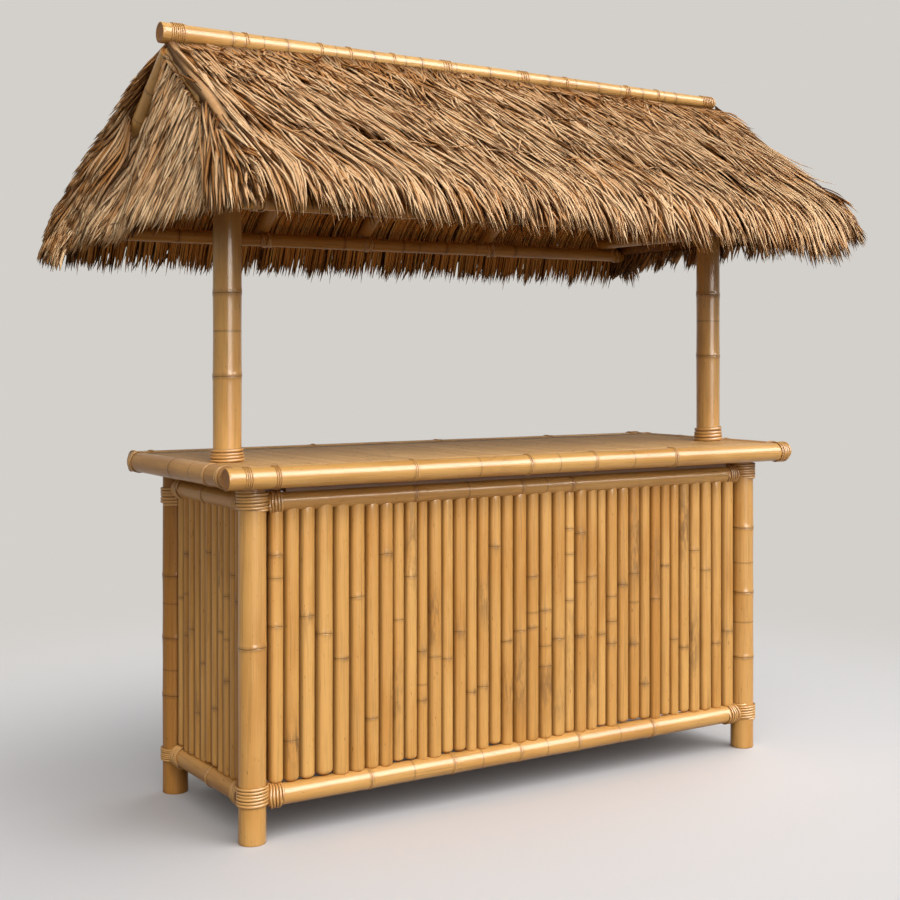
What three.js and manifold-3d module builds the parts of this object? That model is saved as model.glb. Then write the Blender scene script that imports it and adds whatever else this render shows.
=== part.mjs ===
// Bamboo bar hut: a cane-clad bar with a slatted counter, two roof posts and a thatched gable roof.
// Millimetres. +X runs along the bar, +Y points to the serving side at the rear, +Z is up.
// The origin lies on the floor, midway between the four corner posts.

import * as THREE from "three";
import { mergeVertices } from "three/addons/utils/BufferGeometryUtils.js";
import Module from "manifold-3d";

const wasm = await Module();
wasm.setup();

// Frame of the bar
const barLength = 1900;
const barDepth = 580;
const cornerPostDiameter = 82;
const bottomRailHeight = 125;
const bottomRailDiameter = 64;
const topRailDrop = 81;
const topRailDiameter = 58;

// Cane walls, each nailed to a thin board behind the rails
const caneDiameter = 44;
const canePitch = 47.3;
const caneBite = 3;
const wallBoard = 9;
const wallSetback = 22;

// Shelves and the strips that carry them
const shelfBoard = 12;
const middleShelfHeight = 566;
const shelfStripDepth = 25;
const shelfStripWidth = 26;
const shelfLap = 12;

// Counter: edge poles round a slatted deck that sits in their rebates
const counterHeight = 1050;
const counterEndOverhang = 132.5;
const counterFaceOverhang = 111.5;
const counterPoleDiameter = 63;
const rebateInset = 12;
const deckBoard = 18;
const deckSlatThickness = 8;
const deckSlatWidth = 54;
const deckGroove = 4;
const deckSink = 7;
const bearerWidth = 44;

// Roof posts, each with a tenon through the deck into the side rail
const roofPostDiameter = 86;
const roofPostSetback = 115;
const roofPostHead = 60;
const tenonDiameter = 32;
const tenonDepth = 24;

// Roof frame
const roofPitch = THREE.MathUtils.degToRad(36);
const purlinHeight = 1797;
const purlinOutreach = 310;
const purlinOverhang = 220;
const purlinTail = 90;
const purlinDiameter = 47;
const rafterDiameter = 44;
const rafterTail = 50;
const tieDiameter = 40;
const tieTail = 18;
const ridgeTail = 20;
const ridgeDiameter = 59;
const ridgeTipDiameter = 42;

// Thatch
const thatchThickness = 11;
const thatchStep = 215;
const thatchRamp = 14;
const thatchTooth = 70;
const thatchShoulder = 12;
const thatchVerge = 15;
const thatchSpread = 90;
const fringeLength = 160;
const fringeDrop = THREE.MathUtils.degToRad(32);
const skirtThickness = 14;
const skirtFlare = 113;
const skirtDrop = 27;

// Rattan lashings
const rattanDiameter = 7.6;
const lashingPitch = 8.6;
const lashingTurns = 6;
const collarTurns = 4;
const topLashingDrop = 20;
const bottomLashingDrop = 14;
const railWrapWidth = 44;
const railWrapRise = 3;

// Bamboo surface
const nodeStep = 1.2;
const nodeWidth = 5;
const endEase = 3;

// Gap kept between pieces that touch, overrun of cutters, and the merging distance for vertices
const clearance = 0.3;
const cutterOverrun = 20;
const mergeDistance = 0.001;

// Facets
const poleSides = 12;
const slimPoleSides = 8;
const boreSides = 16;
const rattanSides = 4;
const eaveStations = 36;
const courseStations = 28;
const skirtStations = 20;

// Growth nodes along each pole, as shares of its length
const cornerPostNodeShares = [0.3, 0.53, 0.74];
const longBottomRailNodeShares = [0.19, 0.345, 0.485, 0.61, 0.78];
const longTopRailNodeShares = [0.27, 0.44, 0.6];
const sideRailNodeShares = [0.45];
const longCounterNodeShares = [0.03, 0.07, 0.28, 0.47, 0.59, 0.74, 0.96];
const sideCounterNodeShares = [0.2, 0.62, 0.78];
const roofPostNodeShares = [0.39, 0.62];
const ridgeNodeShares = [0.1, 0.15, 0.23, 0.35, 0.45, 0.58, 0.7, 0.8, 0.9];
const purlinNodeShares = [0.14, 0.4, 0.52, 0.73];
const rafterNodeShares = [0.45];
const tieNodeShares = [0.35];
const caneNodeShares = [0.22, 0.71, 0.48, 0.86, 0.34, 0.6];
const canesPerNode = 4;

// Rafters along the roof, as shares of the end rafters' distance from the middle
const rafterPlaceShares = [-1, -0.45, -0.07, 0.43, 1];

// Sizes worked out from the ones above
const cornerPostRadius = cornerPostDiameter / 2;
const bottomRailRadius = bottomRailDiameter / 2;
const topRailRadius = topRailDiameter / 2;
const caneRadius = caneDiameter / 2;
const counterPoleRadius = counterPoleDiameter / 2;
const roofPostRadius = roofPostDiameter / 2;
const tenonRadius = tenonDiameter / 2;
const purlinRadius = purlinDiameter / 2;
const rafterRadius = rafterDiameter / 2;
const tieRadius = tieDiameter / 2;
const ridgeRadius = ridgeDiameter / 2;
const ridgeTipRadius = ridgeTipDiameter / 2;
const rattanRadius = rattanDiameter / 2;

const postX = barLength / 2;
const postY = barDepth / 2;
const counterLength = barLength + counterEndOverhang * 2;
const counterDepth = barDepth + counterFaceOverhang * 2;
const counterTop = counterHeight + counterPoleRadius;
const deckTop = counterTop - deckSink;
const deckUnderside = deckTop - deckSlatThickness - deckBoard;
const counterSideX = counterLength / 2 - counterPoleRadius;
const counterFrontY = counterDepth / 2;
const rebateReach = counterPoleRadius - rebateInset;
const deckHalfLength = counterSideX - rebateReach - clearance;
const deckHalfDepth = counterFrontY - rebateReach - clearance;
const facetSeat = clearance / Math.cos(Math.PI / poleSides);
const lashingReach = cornerPostRadius + facetSeat + rattanDiameter;
const railEndInset = lashingReach + clearance;
const topRailHeight = counterHeight - topRailDrop;
const topLashingFoot = topRailHeight - topLashingDrop;
const bottomLashingFoot = bottomRailHeight - bottomLashingDrop;
const bottomRailTop = bottomRailHeight + bottomRailRadius;
const topRailTop = topRailHeight + topRailRadius;
const caneSetback = wallSetback + caneBite - caneRadius;
const boardInner = wallSetback + wallBoard;
const bearerReach = postX - railEndInset - railWrapWidth - railWrapRise - clearance;
const lowerShelfUnderside = bottomRailTop + clearance + shelfStripDepth + clearance;

const slopeSine = Math.sin(roofPitch);
const slopeCosine = Math.cos(roofPitch);
const slopeTangent = Math.tan(roofPitch);
const purlinSpread = postY + purlinOutreach;
const purlinLength = barLength + purlinOverhang * 2;
const endRafterPlace = purlinLength / 2 - purlinTail;
const ridgeLength = (endRafterPlace + ridgeTail) * 2;
const thatchTopHalf = endRafterPlace + thatchVerge;
const thatchEaveHalf = thatchTopHalf + thatchSpread;
const rafterStack = purlinRadius + clearance + rafterDiameter;
const skirtFoot = purlinHeight - skirtDrop;
const peakHeight = purlinHeight + purlinSpread * slopeTangent + rafterStack / slopeCosine;
const rafterEnd = (purlinSpread + rafterTail) / slopeCosine;
const thatchReach = rafterEnd + thatchShoulder + fringeLength * Math.cos(fringeDrop);
const tieHeight = purlinHeight + purlinRadius + clearance + tieRadius;
const tieX = postX + roofPostRadius + clearance + tieRadius;
const roofPostTop = tieHeight + roofPostHead;

const bambooColour = 0xd9a85c;
const darkBambooColour = 0xb98545;
const caneColour = 0xcf9c55;
const boardColour = 0x8a5f34;
const slatColour = 0xc99752;
const rattanColour = 0xb9853f;
const thatchColour = 0xb08a58;
const skirtColour = 0xa47e4f;

/** A varnished or dry finish in one colour. */
function finish(color, roughness) {
  return new THREE.MeshStandardMaterial({ color, roughness, metalness: 0, flatShading: true });
}

/** Turns a closed geometry into a solid: shared corners are merged and empty triangles dropped. */
function solidOf(geometry) {
  const bare = new THREE.BufferGeometry();
  bare.setAttribute("position", geometry.getAttribute("position").clone());
  bare.setIndex(geometry.getIndex());
  const merged = mergeVertices(bare, mergeDistance);
  const source = merged.getIndex().array;
  const triangles = [];
  for (let i = 0; i < source.length; i += 3) {
    const corners = new Set(source.slice(i, i + 3));
    if (corners.size === 3) {
      triangles.push(...source.slice(i, i + 3));
    }
  }
  return new wasm.Manifold(new wasm.Mesh({
    numProp: 3,
    vertProperties: new Float32Array(merged.getAttribute("position").array),
    triVerts: new Uint32Array(triangles),
  }));
}

/** Turns a solid back into a geometry. */
function geometryOf(solid) {
  const mesh = solid.getMesh();
  const geometry = new THREE.BufferGeometry();
  geometry.setAttribute("position", new THREE.BufferAttribute(new Float32Array(mesh.vertProperties), 3));
  geometry.setIndex(new THREE.BufferAttribute(new Uint32Array(mesh.triVerts), 1));
  geometry.computeVertexNormals();
  return geometry;
}

/** Adds a named piece to a group and places it. */
function addPiece(group, name, solid, material, position = [0, 0, 0]) {
  const mesh = new THREE.Mesh(geometryOf(solid), material);
  mesh.name = name;
  mesh.position.set(...position);
  group.add(mesh);
  return mesh;
}

/** Lays a shape that stands along +Z down along the named axis. */
function layAlong(geometry, axis) {
  if (axis === "x") {
    geometry.rotateY(Math.PI / 2);
  }
  if (axis === "y") {
    geometry.rotateX(-Math.PI / 2);
  }
  return geometry;
}

/** Revolves a profile of radius against height round the named axis, from the origin onwards. */
function revolve(profile, sides, axis) {
  const geometry = new THREE.LatheGeometry(profile, sides);
  geometry.rotateX(Math.PI / 2);
  return layAlong(geometry, axis);
}

/**
 * Bamboo pole along the named axis, centred on the origin. Each growth node is a small ledge, and the
 * pole narrows again towards the next one. wrapReach gives each end a raised band of bound rattan.
 */
function bambooPole({ length, radius, tipRadius = radius, nodeShares, axis, sides = poleSides, wrapReach = 0 }) {
  const radiusAt = (share) => THREE.MathUtils.lerp(radius, tipRadius, share);
  const profile = [new THREE.Vector2(0, 0)];
  const addPoint = (distance, height) => profile.push(new THREE.Vector2(distance, height));
  if (wrapReach > 0) {
    addPoint(radius + railWrapRise, 0);
    addPoint(radius + railWrapRise, wrapReach);
    addPoint(radius, wrapReach + railWrapRise);
  } else {
    addPoint(radius - endEase, 0);
    addPoint(radius, endEase);
  }
  for (const share of nodeShares) {
    addPoint(radiusAt(share) - nodeStep, length * share - nodeWidth);
    addPoint(radiusAt(share), length * share);
  }
  if (wrapReach > 0) {
    addPoint(tipRadius, length - wrapReach - railWrapRise);
    addPoint(tipRadius + railWrapRise, length - wrapReach);
    addPoint(tipRadius + railWrapRise, length);
  } else {
    addPoint(tipRadius, length - endEase);
    addPoint(tipRadius - endEase, length);
  }
  addPoint(0, length);
  const geometry = revolve(profile, sides, "z");
  geometry.translate(0, 0, -length / 2);
  return solidOf(layAlong(geometry, axis));
}

/** Round cutter or peg along the named axis, centred on a point; its flats clear the given radius. */
function roundBar(radius, length, axis, [x, y, z]) {
  const corner = radius / Math.cos(Math.PI / boreSides);
  const geometry = new THREE.CylinderGeometry(corner, corner, length, boreSides);
  geometry.rotateX(Math.PI / 2);
  layAlong(geometry, axis);
  geometry.translate(x, y, z);
  return solidOf(geometry);
}

/** Block between two corners. */
function block([x0, y0, z0], [x1, y1, z1]) {
  const geometry = new THREE.BoxGeometry(x1 - x0, y1 - y0, z1 - z0);
  geometry.translate((x0 + x1) / 2, (y0 + y1) / 2, (z0 + z1) / 2);
  return solidOf(geometry);
}

/** Closed skin over a grid of rings, with the first and last ring capped. */
function loftRings(rings) {
  const count = rings[0].length;
  const positions = rings.flat().flatMap((point) => point.toArray());
  const triangles = [];
  for (let ring = 0; ring + 1 < rings.length; ring += 1) {
    for (let i = 0; i < count; i += 1) {
      const a = ring * count + i;
      const b = ring * count + ((i + 1) % count);
      triangles.push(a, b, a + count, b, b + count, a + count);
    }
  }
  return { positions, triangles, count, last: (rings.length - 1) * count };
}

/** Solid from lofted rings whose end caps are cut into triangles over the flat outline given. */
function loftSolid(rings, outline) {
  const { positions, triangles, last } = loftRings(rings);
  for (const [a, b, c] of THREE.ShapeUtils.triangulateShape(outline, [])) {
    triangles.push(a, c, b);
    triangles.push(last + a, last + b, last + c);
  }
  const geometry = new THREE.BufferGeometry();
  geometry.setAttribute("position", new THREE.Float32BufferAttribute(positions, 3));
  geometry.setIndex(triangles);
  return solidOf(geometry);
}

/** Corner posts: whole poles from the floor to the underside of the deck. */
function addCornerPosts(group) {
  const length = deckUnderside - clearance;
  for (const [side, x] of [["left", -postX], ["right", postX]]) {
    for (const [face, y] of [["front", -postY], ["rear", postY]]) {
      const post = bambooPole({ length, radius: cornerPostRadius, nodeShares: cornerPostNodeShares, axis: "z" });
      addPiece(group, `corner_post_${face}_${side}`, post, finish(bambooColour, 0.38), [x, y, length / 2]);
    }
  }
}

/** One rail between two posts, its ends cut to lie against the lashed posts. */
function rail({ span, radius, axis, nodeShares }) {
  const pole = bambooPole({ length: span, radius, axis, nodeShares, wrapReach: railEndInset + railWrapWidth });
  const cutterLength = radius * 2 + cutterOverrun * 2;
  const places = axis === "x" ? [[-span / 2, 0, 0], [span / 2, 0, 0]] : [[0, -span / 2, 0], [0, span / 2, 0]];
  return places.reduce(
    (solid, place) => solid.subtract(roundBar(railEndInset, cutterLength, "z", place)),
    pole,
  );
}

/** Socket in a side rail's back for the tenon of a roof post. */
function tenonSocket(radius) {
  const depth = tenonDepth + clearance;
  const length = depth + cutterOverrun;
  return roundBar(tenonRadius + clearance, length, "z", [0, -roofPostSetback, radius - depth + length / 2]);
}

/** Rails at the foot and head of the bar. */
function addRails(group) {
  const levels = [
    { level: "bottom", height: bottomRailHeight, radius: bottomRailRadius, longShares: longBottomRailNodeShares },
    { level: "top", height: topRailHeight, radius: topRailRadius, longShares: longTopRailNodeShares },
  ];
  for (const { level, height, radius, longShares } of levels) {
    for (const [face, y] of [["front", -postY], ["rear", postY]]) {
      const solid = rail({ span: barLength, radius, axis: "x", nodeShares: longShares });
      addPiece(group, `${level}_rail_${face}`, solid, finish(bambooColour, 0.38), [0, y, height]);
    }
    for (const [side, x] of [["left", -postX], ["right", postX]]) {
      const whole = rail({ span: barDepth, radius, axis: "y", nodeShares: sideRailNodeShares });
      const solid = level === "top" ? whole.subtract(tenonSocket(radius)) : whole;
      addPiece(group, `${level}_rail_${side}`, solid, finish(bambooColour, 0.38), [x, 0, height]);
    }
  }
}

/**
 * Cane wall: upright canes side by side between the rails, nailed to a board behind them that also
 * carries the shelf strips. It is built along +X with its outer face towards -Y.
 */
function caneWall(halfLength) {
  const foot = bottomRailTop + clearance;
  const head = topRailHeight - topRailRadius - clearance;
  const middle = (foot + head) / 2;
  const parts = [block([-halfLength, wallSetback, foot], [halfLength, boardInner, head])];
  const count = Math.floor((halfLength * 2) / canePitch);
  for (let i = 0; i < count; i += 1) {
    const x = (i - (count - 1) / 2) * canePitch;
    const overWrap = Math.abs(x) + caneRadius > halfLength - railWrapWidth - railWrapRise * 2;
    const length = head - foot - (overWrap ? railWrapRise * 2 : 0);
    const turn = i / canesPerNode;
    const nodeShares = i % canesPerNode === 0 ? [caneNodeShares[turn % caneNodeShares.length]] : [];
    parts.push(caneSolid(length, nodeShares).translate([x, caneSetback, middle]));
  }
  for (const shelfUnderside of [lowerShelfUnderside, middleShelfHeight]) {
    const stripTop = shelfUnderside - clearance;
    const reach = halfLength - shelfStripWidth;
    parts.push(block(
      [-reach, boardInner - clearance, stripTop - shelfStripDepth],
      [reach, boardInner + shelfStripWidth, stripTop],
    ));
  }
  return wasm.Manifold.union(parts);
}

/** One upright cane, square at its ends. */
function caneSolid(length, nodeShares) {
  const profile = [new THREE.Vector2(0, 0), new THREE.Vector2(caneRadius, 0)];
  for (const share of nodeShares) {
    profile.push(new THREE.Vector2(caneRadius - nodeStep, length * share - nodeWidth));
    profile.push(new THREE.Vector2(caneRadius, length * share));
  }
  profile.push(new THREE.Vector2(caneRadius, length), new THREE.Vector2(0, length));
  const geometry = revolve(profile, slimPoleSides, "z");
  geometry.translate(0, 0, -length / 2);
  return solidOf(geometry);
}

/** Front, left and right cane walls. The rear stays open for the person serving. */
function addCaneWalls(group) {
  const frontHalf = postX - railEndInset - clearance;
  const sideHalf = postY - railEndInset - clearance;
  addPiece(group, "cane_wall_front", caneWall(frontHalf), finish(caneColour, 0.45), [0, -postY, 0]);
  const left = addPiece(group, "cane_wall_left", caneWall(sideHalf), finish(caneColour, 0.45), [-postX, 0, 0]);
  left.rotation.z = -Math.PI / 2;
  const right = addPiece(group, "cane_wall_right", caneWall(sideHalf), finish(caneColour, 0.45), [postX, 0, 0]);
  right.rotation.z = Math.PI / 2;
}

/** Shelves inside the bar, on the strips of the cane walls; the lower one's batten meets the rear rail. */
function addShelves(group) {
  const halfLength = postX - boardInner - shelfStripWidth + shelfLap;
  const front = -postY + boardInner + clearance;
  const lowerRear = postY + shelfStripWidth / 2;
  const board = block(
    [-halfLength, front, lowerShelfUnderside],
    [halfLength, lowerRear, lowerShelfUnderside + shelfBoard],
  );
  const batten = block(
    [-bearerReach, lowerRear - shelfStripWidth, bottomRailTop + clearance],
    [bearerReach, lowerRear, lowerShelfUnderside + clearance],
  );
  addPiece(group, "lower_shelf", board.add(batten), finish(boardColour, 0.6));
  const middleRear = postY - boardInner - clearance;
  const middle = block(
    [-halfLength, front, middleShelfHeight],
    [halfLength, middleRear, middleShelfHeight + shelfBoard],
  );
  addPiece(group, "middle_shelf", middle, finish(boardColour, 0.6));
}

/** Deck: a board covered with slats that run from front to rear, with a V groove between slats. */
function addDeck(group) {
  const outline = new THREE.Shape();
  outline.moveTo(-deckHalfLength, deckUnderside);
  outline.lineTo(deckHalfLength, deckUnderside);
  outline.lineTo(deckHalfLength, deckTop);
  const slats = Math.round((deckHalfLength * 2) / deckSlatWidth);
  const pitch = (deckHalfLength * 2) / slats;
  for (let i = slats - 1; i > 0; i -= 1) {
    const x = -deckHalfLength + i * pitch;
    outline.lineTo(x + deckGroove / 2, deckTop);
    outline.lineTo(x, deckTop - deckGroove);
    outline.lineTo(x - deckGroove / 2, deckTop);
  }
  outline.lineTo(-deckHalfLength, deckTop);
  outline.closePath();
  const geometry = new THREE.ExtrudeGeometry(outline, { depth: deckHalfDepth * 2, bevelEnabled: false });
  geometry.translate(0, 0, -deckHalfDepth);
  geometry.rotateX(Math.PI / 2);
  let deck = solidOf(geometry);
  const holeLength = deckTop - deckUnderside + cutterOverrun * 2;
  for (const x of [-postX, postX]) {
    const place = [x, -roofPostSetback, (deckTop + deckUnderside) / 2];
    deck = deck.subtract(roundBar(tenonRadius + clearance, holeLength, "z", place));
  }
  addPiece(group, "deck", deck, finish(slatColour, 0.35));
  for (const [face, y] of [["front", -postY], ["rear", postY]]) {
    const bearer = block(
      [-bearerReach, y - bearerWidth / 2, topRailTop + clearance],
      [bearerReach, y + bearerWidth / 2, deckUnderside - clearance],
    );
    addPiece(group, `deck_bearer_${face}`, bearer, finish(boardColour, 0.6));
  }
}

/** Space that the deck takes out of the edge poles, as seen from the counter's middle. */
function deckSpace() {
  const halfLength = deckHalfLength + clearance;
  const halfDepth = deckHalfDepth + clearance;
  return block(
    [-halfLength, -halfDepth, deckUnderside - clearance],
    [halfLength, halfDepth, counterTop + cutterOverrun],
  );
}

/** Edge poles: the front and rear ones run through, the side ones are cut to lie against them. */
function addCounterPoles(group) {
  for (const [face, y] of [["front", -counterFrontY], ["rear", counterFrontY]]) {
    const whole = bambooPole({
      length: counterLength, radius: counterPoleRadius, nodeShares: longCounterNodeShares, axis: "x",
    });
    const solid = whole.subtract(deckSpace().translate([0, -y, -counterHeight]));
    addPiece(group, `counter_pole_${face}`, solid, finish(bambooColour, 0.32), [0, y, counterHeight]);
  }
  for (const [side, x] of [["left", -counterSideX], ["right", counterSideX]]) {
    let solid = bambooPole({
      length: counterDepth, radius: counterPoleRadius, nodeShares: sideCounterNodeShares, axis: "y",
    });
    solid = solid.subtract(deckSpace().translate([-x, 0, -counterHeight]));
    const cutterLength = counterPoleDiameter + cutterOverrun * 2;
    for (const y of [-counterFrontY, counterFrontY]) {
      solid = solid.subtract(roundBar(counterPoleRadius + clearance, cutterLength, "x", [0, y, 0]));
    }
    addPiece(group, `counter_pole_${side}`, solid, finish(bambooColour, 0.32), [x, 0, counterHeight]);
  }
}

/** Roof posts: each stands on the deck with a tenon through it into the side rail below. */
function addRoofPosts(group) {
  const foot = deckTop + clearance;
  const length = roofPostTop - foot;
  const tenonFoot = topRailTop - tenonDepth;
  const tenonHead = foot + endEase;
  const tenonLength = tenonHead - tenonFoot;
  for (const [side, x] of [["left", -postX], ["right", postX]]) {
    const pole = bambooPole({ length, radius: roofPostRadius, nodeShares: roofPostNodeShares, axis: "z" });
    const centre = foot + length / 2;
    const tenon = roundBar(tenonRadius, tenonLength, "z", [0, 0, tenonFoot + tenonLength / 2 - centre]);
    const place = [x, -roofPostSetback, centre];
    addPiece(group, `roof_post_${side}`, pole.add(tenon), finish(bambooColour, 0.36), place);
  }
}

/** Purlins along both eaves and the tie beams across them, which lean on the posts' outer sides. */
function addPurlinsAndTies(group) {
  for (const [face, y] of [["front", -purlinSpread], ["rear", purlinSpread]]) {
    const purlin = bambooPole({
      length: purlinLength, radius: purlinRadius, nodeShares: purlinNodeShares, axis: "x", sides: slimPoleSides,
    });
    addPiece(group, `purlin_${face}`, purlin, finish(darkBambooColour, 0.45), [0, y, purlinHeight]);
  }
  const tieLength = (purlinSpread + tieTail) * 2;
  for (const [side, x] of [["left", -tieX], ["right", tieX]]) {
    const tie = bambooPole({
      length: tieLength, radius: tieRadius, nodeShares: tieNodeShares, axis: "y", sides: slimPoleSides,
    });
    addPiece(group, `tie_beam_${side}`, tie, finish(darkBambooColour, 0.45), [x, 0, tieHeight]);
  }
}

/** Ridge pole, resting along the rafters' peaks and thinning towards its right end. */
function addRidge(group) {
  const pole = bambooPole({
    length: ridgeLength, radius: ridgeRadius, tipRadius: ridgeTipRadius, nodeShares: ridgeNodeShares, axis: "x",
  });
  const height = peakHeight + clearance + (ridgeRadius + ridgeTipRadius) / 2;
  const ridge = addPiece(group, "ridge_pole", pole, finish(bambooColour, 0.34), [0, 0, height]);
  ridge.rotation.y = Math.atan2(ridgeRadius - ridgeTipRadius, ridgeLength);
}

/**
 * Frame of one roof slope: its origin is the peak, +Y runs down the slope and +Z points out of it.
 * Returns the inner group that pieces are added to.
 */
function slopeFrame(group, face) {
  const turned = new THREE.Group();
  turned.position.z = peakHeight;
  turned.rotation.z = face === "front" ? Math.PI : 0;
  const inclined = new THREE.Group();
  inclined.rotation.x = -roofPitch;
  turned.add(inclined);
  group.add(turned);
  return inclined;
}

/** Rafters of one slope, cut upright where they meet the other slope's. */
function addRafters(slope, face) {
  const length = rafterEnd + rafterDiameter;
  const turn = face === "front" ? -1 : 1;
  rafterPlaceShares.forEach((share, i) => {
    const pole = bambooPole({
      length, radius: rafterRadius, nodeShares: rafterNodeShares, axis: "y", sides: slimPoleSides,
    }).translate([0, length / 2 - rafterDiameter, -rafterRadius]);
    const rafter = pole.trimByPlane([0, slopeCosine, slopeSine], clearance / 2);
    const x = share * endRafterPlace * turn;
    addPiece(slope, `rafter_${face}_${i + 1}`, rafter, finish(darkBambooColour, 0.45), [x, 0, 0]);
  });
}

/**
 * One course of thatch in the slope's frame. The outline lists the course's cross-section as distance
 * down the slope and height above the rafters; its tip alternates between a long and a short tooth.
 */
function thatchCourse({ outline, tipIndex, shortTip, stations }) {
  const halfAt = (distance) => THREE.MathUtils.lerp(thatchTopHalf, thatchEaveHalf, distance / thatchReach);
  const rings = [];
  for (let station = 0; station <= stations; station += 1) {
    const across = (station / stations) * 2 - 1;
    const ring = outline.map((point, i) => {
      const place = i === tipIndex && station % 2 === 1 ? shortTip : point;
      return new THREE.Vector3(across * halfAt(place.x), place.x, place.y);
    });
    rings.push(ring);
  }
  return loftSolid(rings, outline);
}

/**
 * Cross-section of an upper course, which climbs over the head of the course below it. rise is how
 * much that course's back rises over one step.
 */
function upperCourse({ head, rise }) {
  const over = head + thatchStep;
  const tail = head + thatchStep * 2;
  const underside = thatchThickness + clearance * 2;
  const slopeRise = rise / thatchStep;
  const shoulder = tail - thatchTooth - thatchShoulder;
  const shoulderUnderside = underside + (shoulder - over) * slopeRise;
  const tipHeight = shoulderUnderside + thatchThickness / 2 + (tail - shoulder) * slopeRise;
  const outline = [
    new THREE.Vector2(head, clearance),
    new THREE.Vector2(over - thatchRamp, clearance),
    new THREE.Vector2(over - clearance, underside),
    new THREE.Vector2(shoulder, shoulderUnderside),
    new THREE.Vector2(tail, tipHeight),
    new THREE.Vector2(shoulder, shoulderUnderside + thatchThickness),
    new THREE.Vector2(over, underside + thatchThickness),
    new THREE.Vector2(head, clearance + thatchThickness),
  ];
  const shortTip = new THREE.Vector2(tail - thatchTooth, shoulderUnderside + thatchThickness / 2);
  return { outline, tipIndex: 4, shortTip, stations: courseStations };
}

/** Cross-section of the eave course, whose fringe bends down past the rafter ends. */
function eaveCourse(head) {
  const top = clearance + thatchThickness;
  const bend = rafterEnd + thatchShoulder;
  const alongFringe = (distance, offset) => new THREE.Vector2(
    bend + distance * Math.cos(fringeDrop) + offset * Math.sin(fringeDrop),
    clearance - distance * Math.sin(fringeDrop) + offset * Math.cos(fringeDrop),
  );
  const shoulder = fringeLength - thatchTooth - thatchShoulder;
  const outline = [
    new THREE.Vector2(head, clearance),
    new THREE.Vector2(bend, clearance),
    alongFringe(shoulder, 0),
    alongFringe(fringeLength, thatchThickness / 2),
    alongFringe(shoulder, thatchThickness),
    new THREE.Vector2(bend, top),
    new THREE.Vector2(head, top),
  ];
  const shortTip = alongFringe(shoulder + thatchShoulder, thatchThickness / 2);
  return { outline, tipIndex: 3, shortTip, stations: eaveStations };
}

/** The three courses of one slope, numbered from the eave up. */
function addThatch(slope, face) {
  const ridgeSeat = ridgeRadius + clearance;
  const topHead = ridgeSeat * (1 - slopeSine) + clearance;
  const middleHead = topHead + thatchStep;
  const eaveHead = middleHead + thatchStep;
  const courses = [
    eaveCourse(eaveHead),
    upperCourse({ head: middleHead, rise: 0 }),
    upperCourse({ head: topHead, rise: thatchThickness + clearance }),
  ];
  courses.forEach((course, i) => {
    addPiece(slope, `thatch_${face}_${i + 1}`, thatchCourse(course), finish(thatchColour, 0.9));
  });
}

/**
 * Gable skirt: thatch that hangs from the end rafters and spreads outwards to its toothed foot.
 * It is lofted along Y, with its outer side towards +X.
 */
function gableSkirt() {
  const halfWidth = purlinSpread - purlinRadius - clearance;
  const seat = (rafterDiameter + clearance) / slopeCosine;
  const midShare = 0.55;
  const midFlareShare = 0.4;
  const shortToothShare = 0.8;
  const rings = [];
  for (let station = 0; station <= skirtStations; station += 1) {
    const y = ((station / skirtStations) * 2 - 1) * halfWidth;
    const top = peakHeight - seat - Math.abs(y) * slopeTangent;
    const tipShare = station % 2 === 0 ? 1 : shortToothShare;
    const pointAt = (share, flareShare, offset) => new THREE.Vector3(
      endRafterPlace + skirtFlare * flareShare + offset,
      y,
      THREE.MathUtils.lerp(top, skirtFoot, share),
    );
    rings.push([
      pointAt(0, 0, -skirtThickness / 2),
      pointAt(0, 0, skirtThickness / 2),
      pointAt(midShare, midFlareShare, skirtThickness / 2),
      pointAt(tipShare, tipShare, 0),
      pointAt(midShare, midFlareShare, -skirtThickness / 2),
    ]);
  }
  const outline = rings[0].map((point) => new THREE.Vector2(point.z, point.x));
  return loftSolid(rings, outline);
}

/** Skirts at both gables; the left one is the right one turned round. */
function addGableSkirts(group) {
  addPiece(group, "thatch_gable_right", gableSkirt(), finish(skirtColour, 0.9));
  const left = addPiece(group, "thatch_gable_left", gableSkirt(), finish(skirtColour, 0.9));
  left.rotation.z = Math.PI;
}

/**
 * Rattan lashing: one unbroken strand wound round a pole that stands on the origin. Its steps match
 * the pole's facets, so it lies along them. Returns the strand's rings of points.
 */
function lashingRings(poleRadius, turns) {
  const windingRadius = poleRadius + facetSeat + rattanRadius;
  const rings = [];
  for (let step = 0; step <= turns * poleSides; step += 1) {
    const angle = (step / poleSides) * Math.PI * 2;
    const outward = new THREE.Vector3(Math.sin(angle), -Math.cos(angle), 0);
    const height = rattanRadius + (step / poleSides) * lashingPitch;
    const ring = [];
    for (let i = 0; i < rattanSides; i += 1) {
      const around = (i / rattanSides) * Math.PI * 2;
      const point = outward.clone().multiplyScalar(windingRadius + Math.cos(around) * rattanRadius);
      point.z = height - Math.sin(around) * rattanRadius;
      ring.push(point);
    }
    rings.push(ring);
  }
  return rings;
}

/** Least distance between points of a strand that lie at least half a turn apart along it. */
function leastSelfGap(rings) {
  const apart = poleSides / 2;
  let least = Infinity;
  for (let i = 0; i < rings.length; i += 1) {
    for (let j = i + apart; j < rings.length; j += 1) {
      for (const a of rings[i]) {
        for (const b of rings[j]) {
          least = Math.min(least, a.distanceTo(b));
        }
      }
    }
  }
  return least;
}

/** Solid strand from its rings. */
function lashing(rings) {
  const outline = rings[0].map((point) => new THREE.Vector2(point.y, point.z));
  return loftSolid(rings, outline);
}

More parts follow.
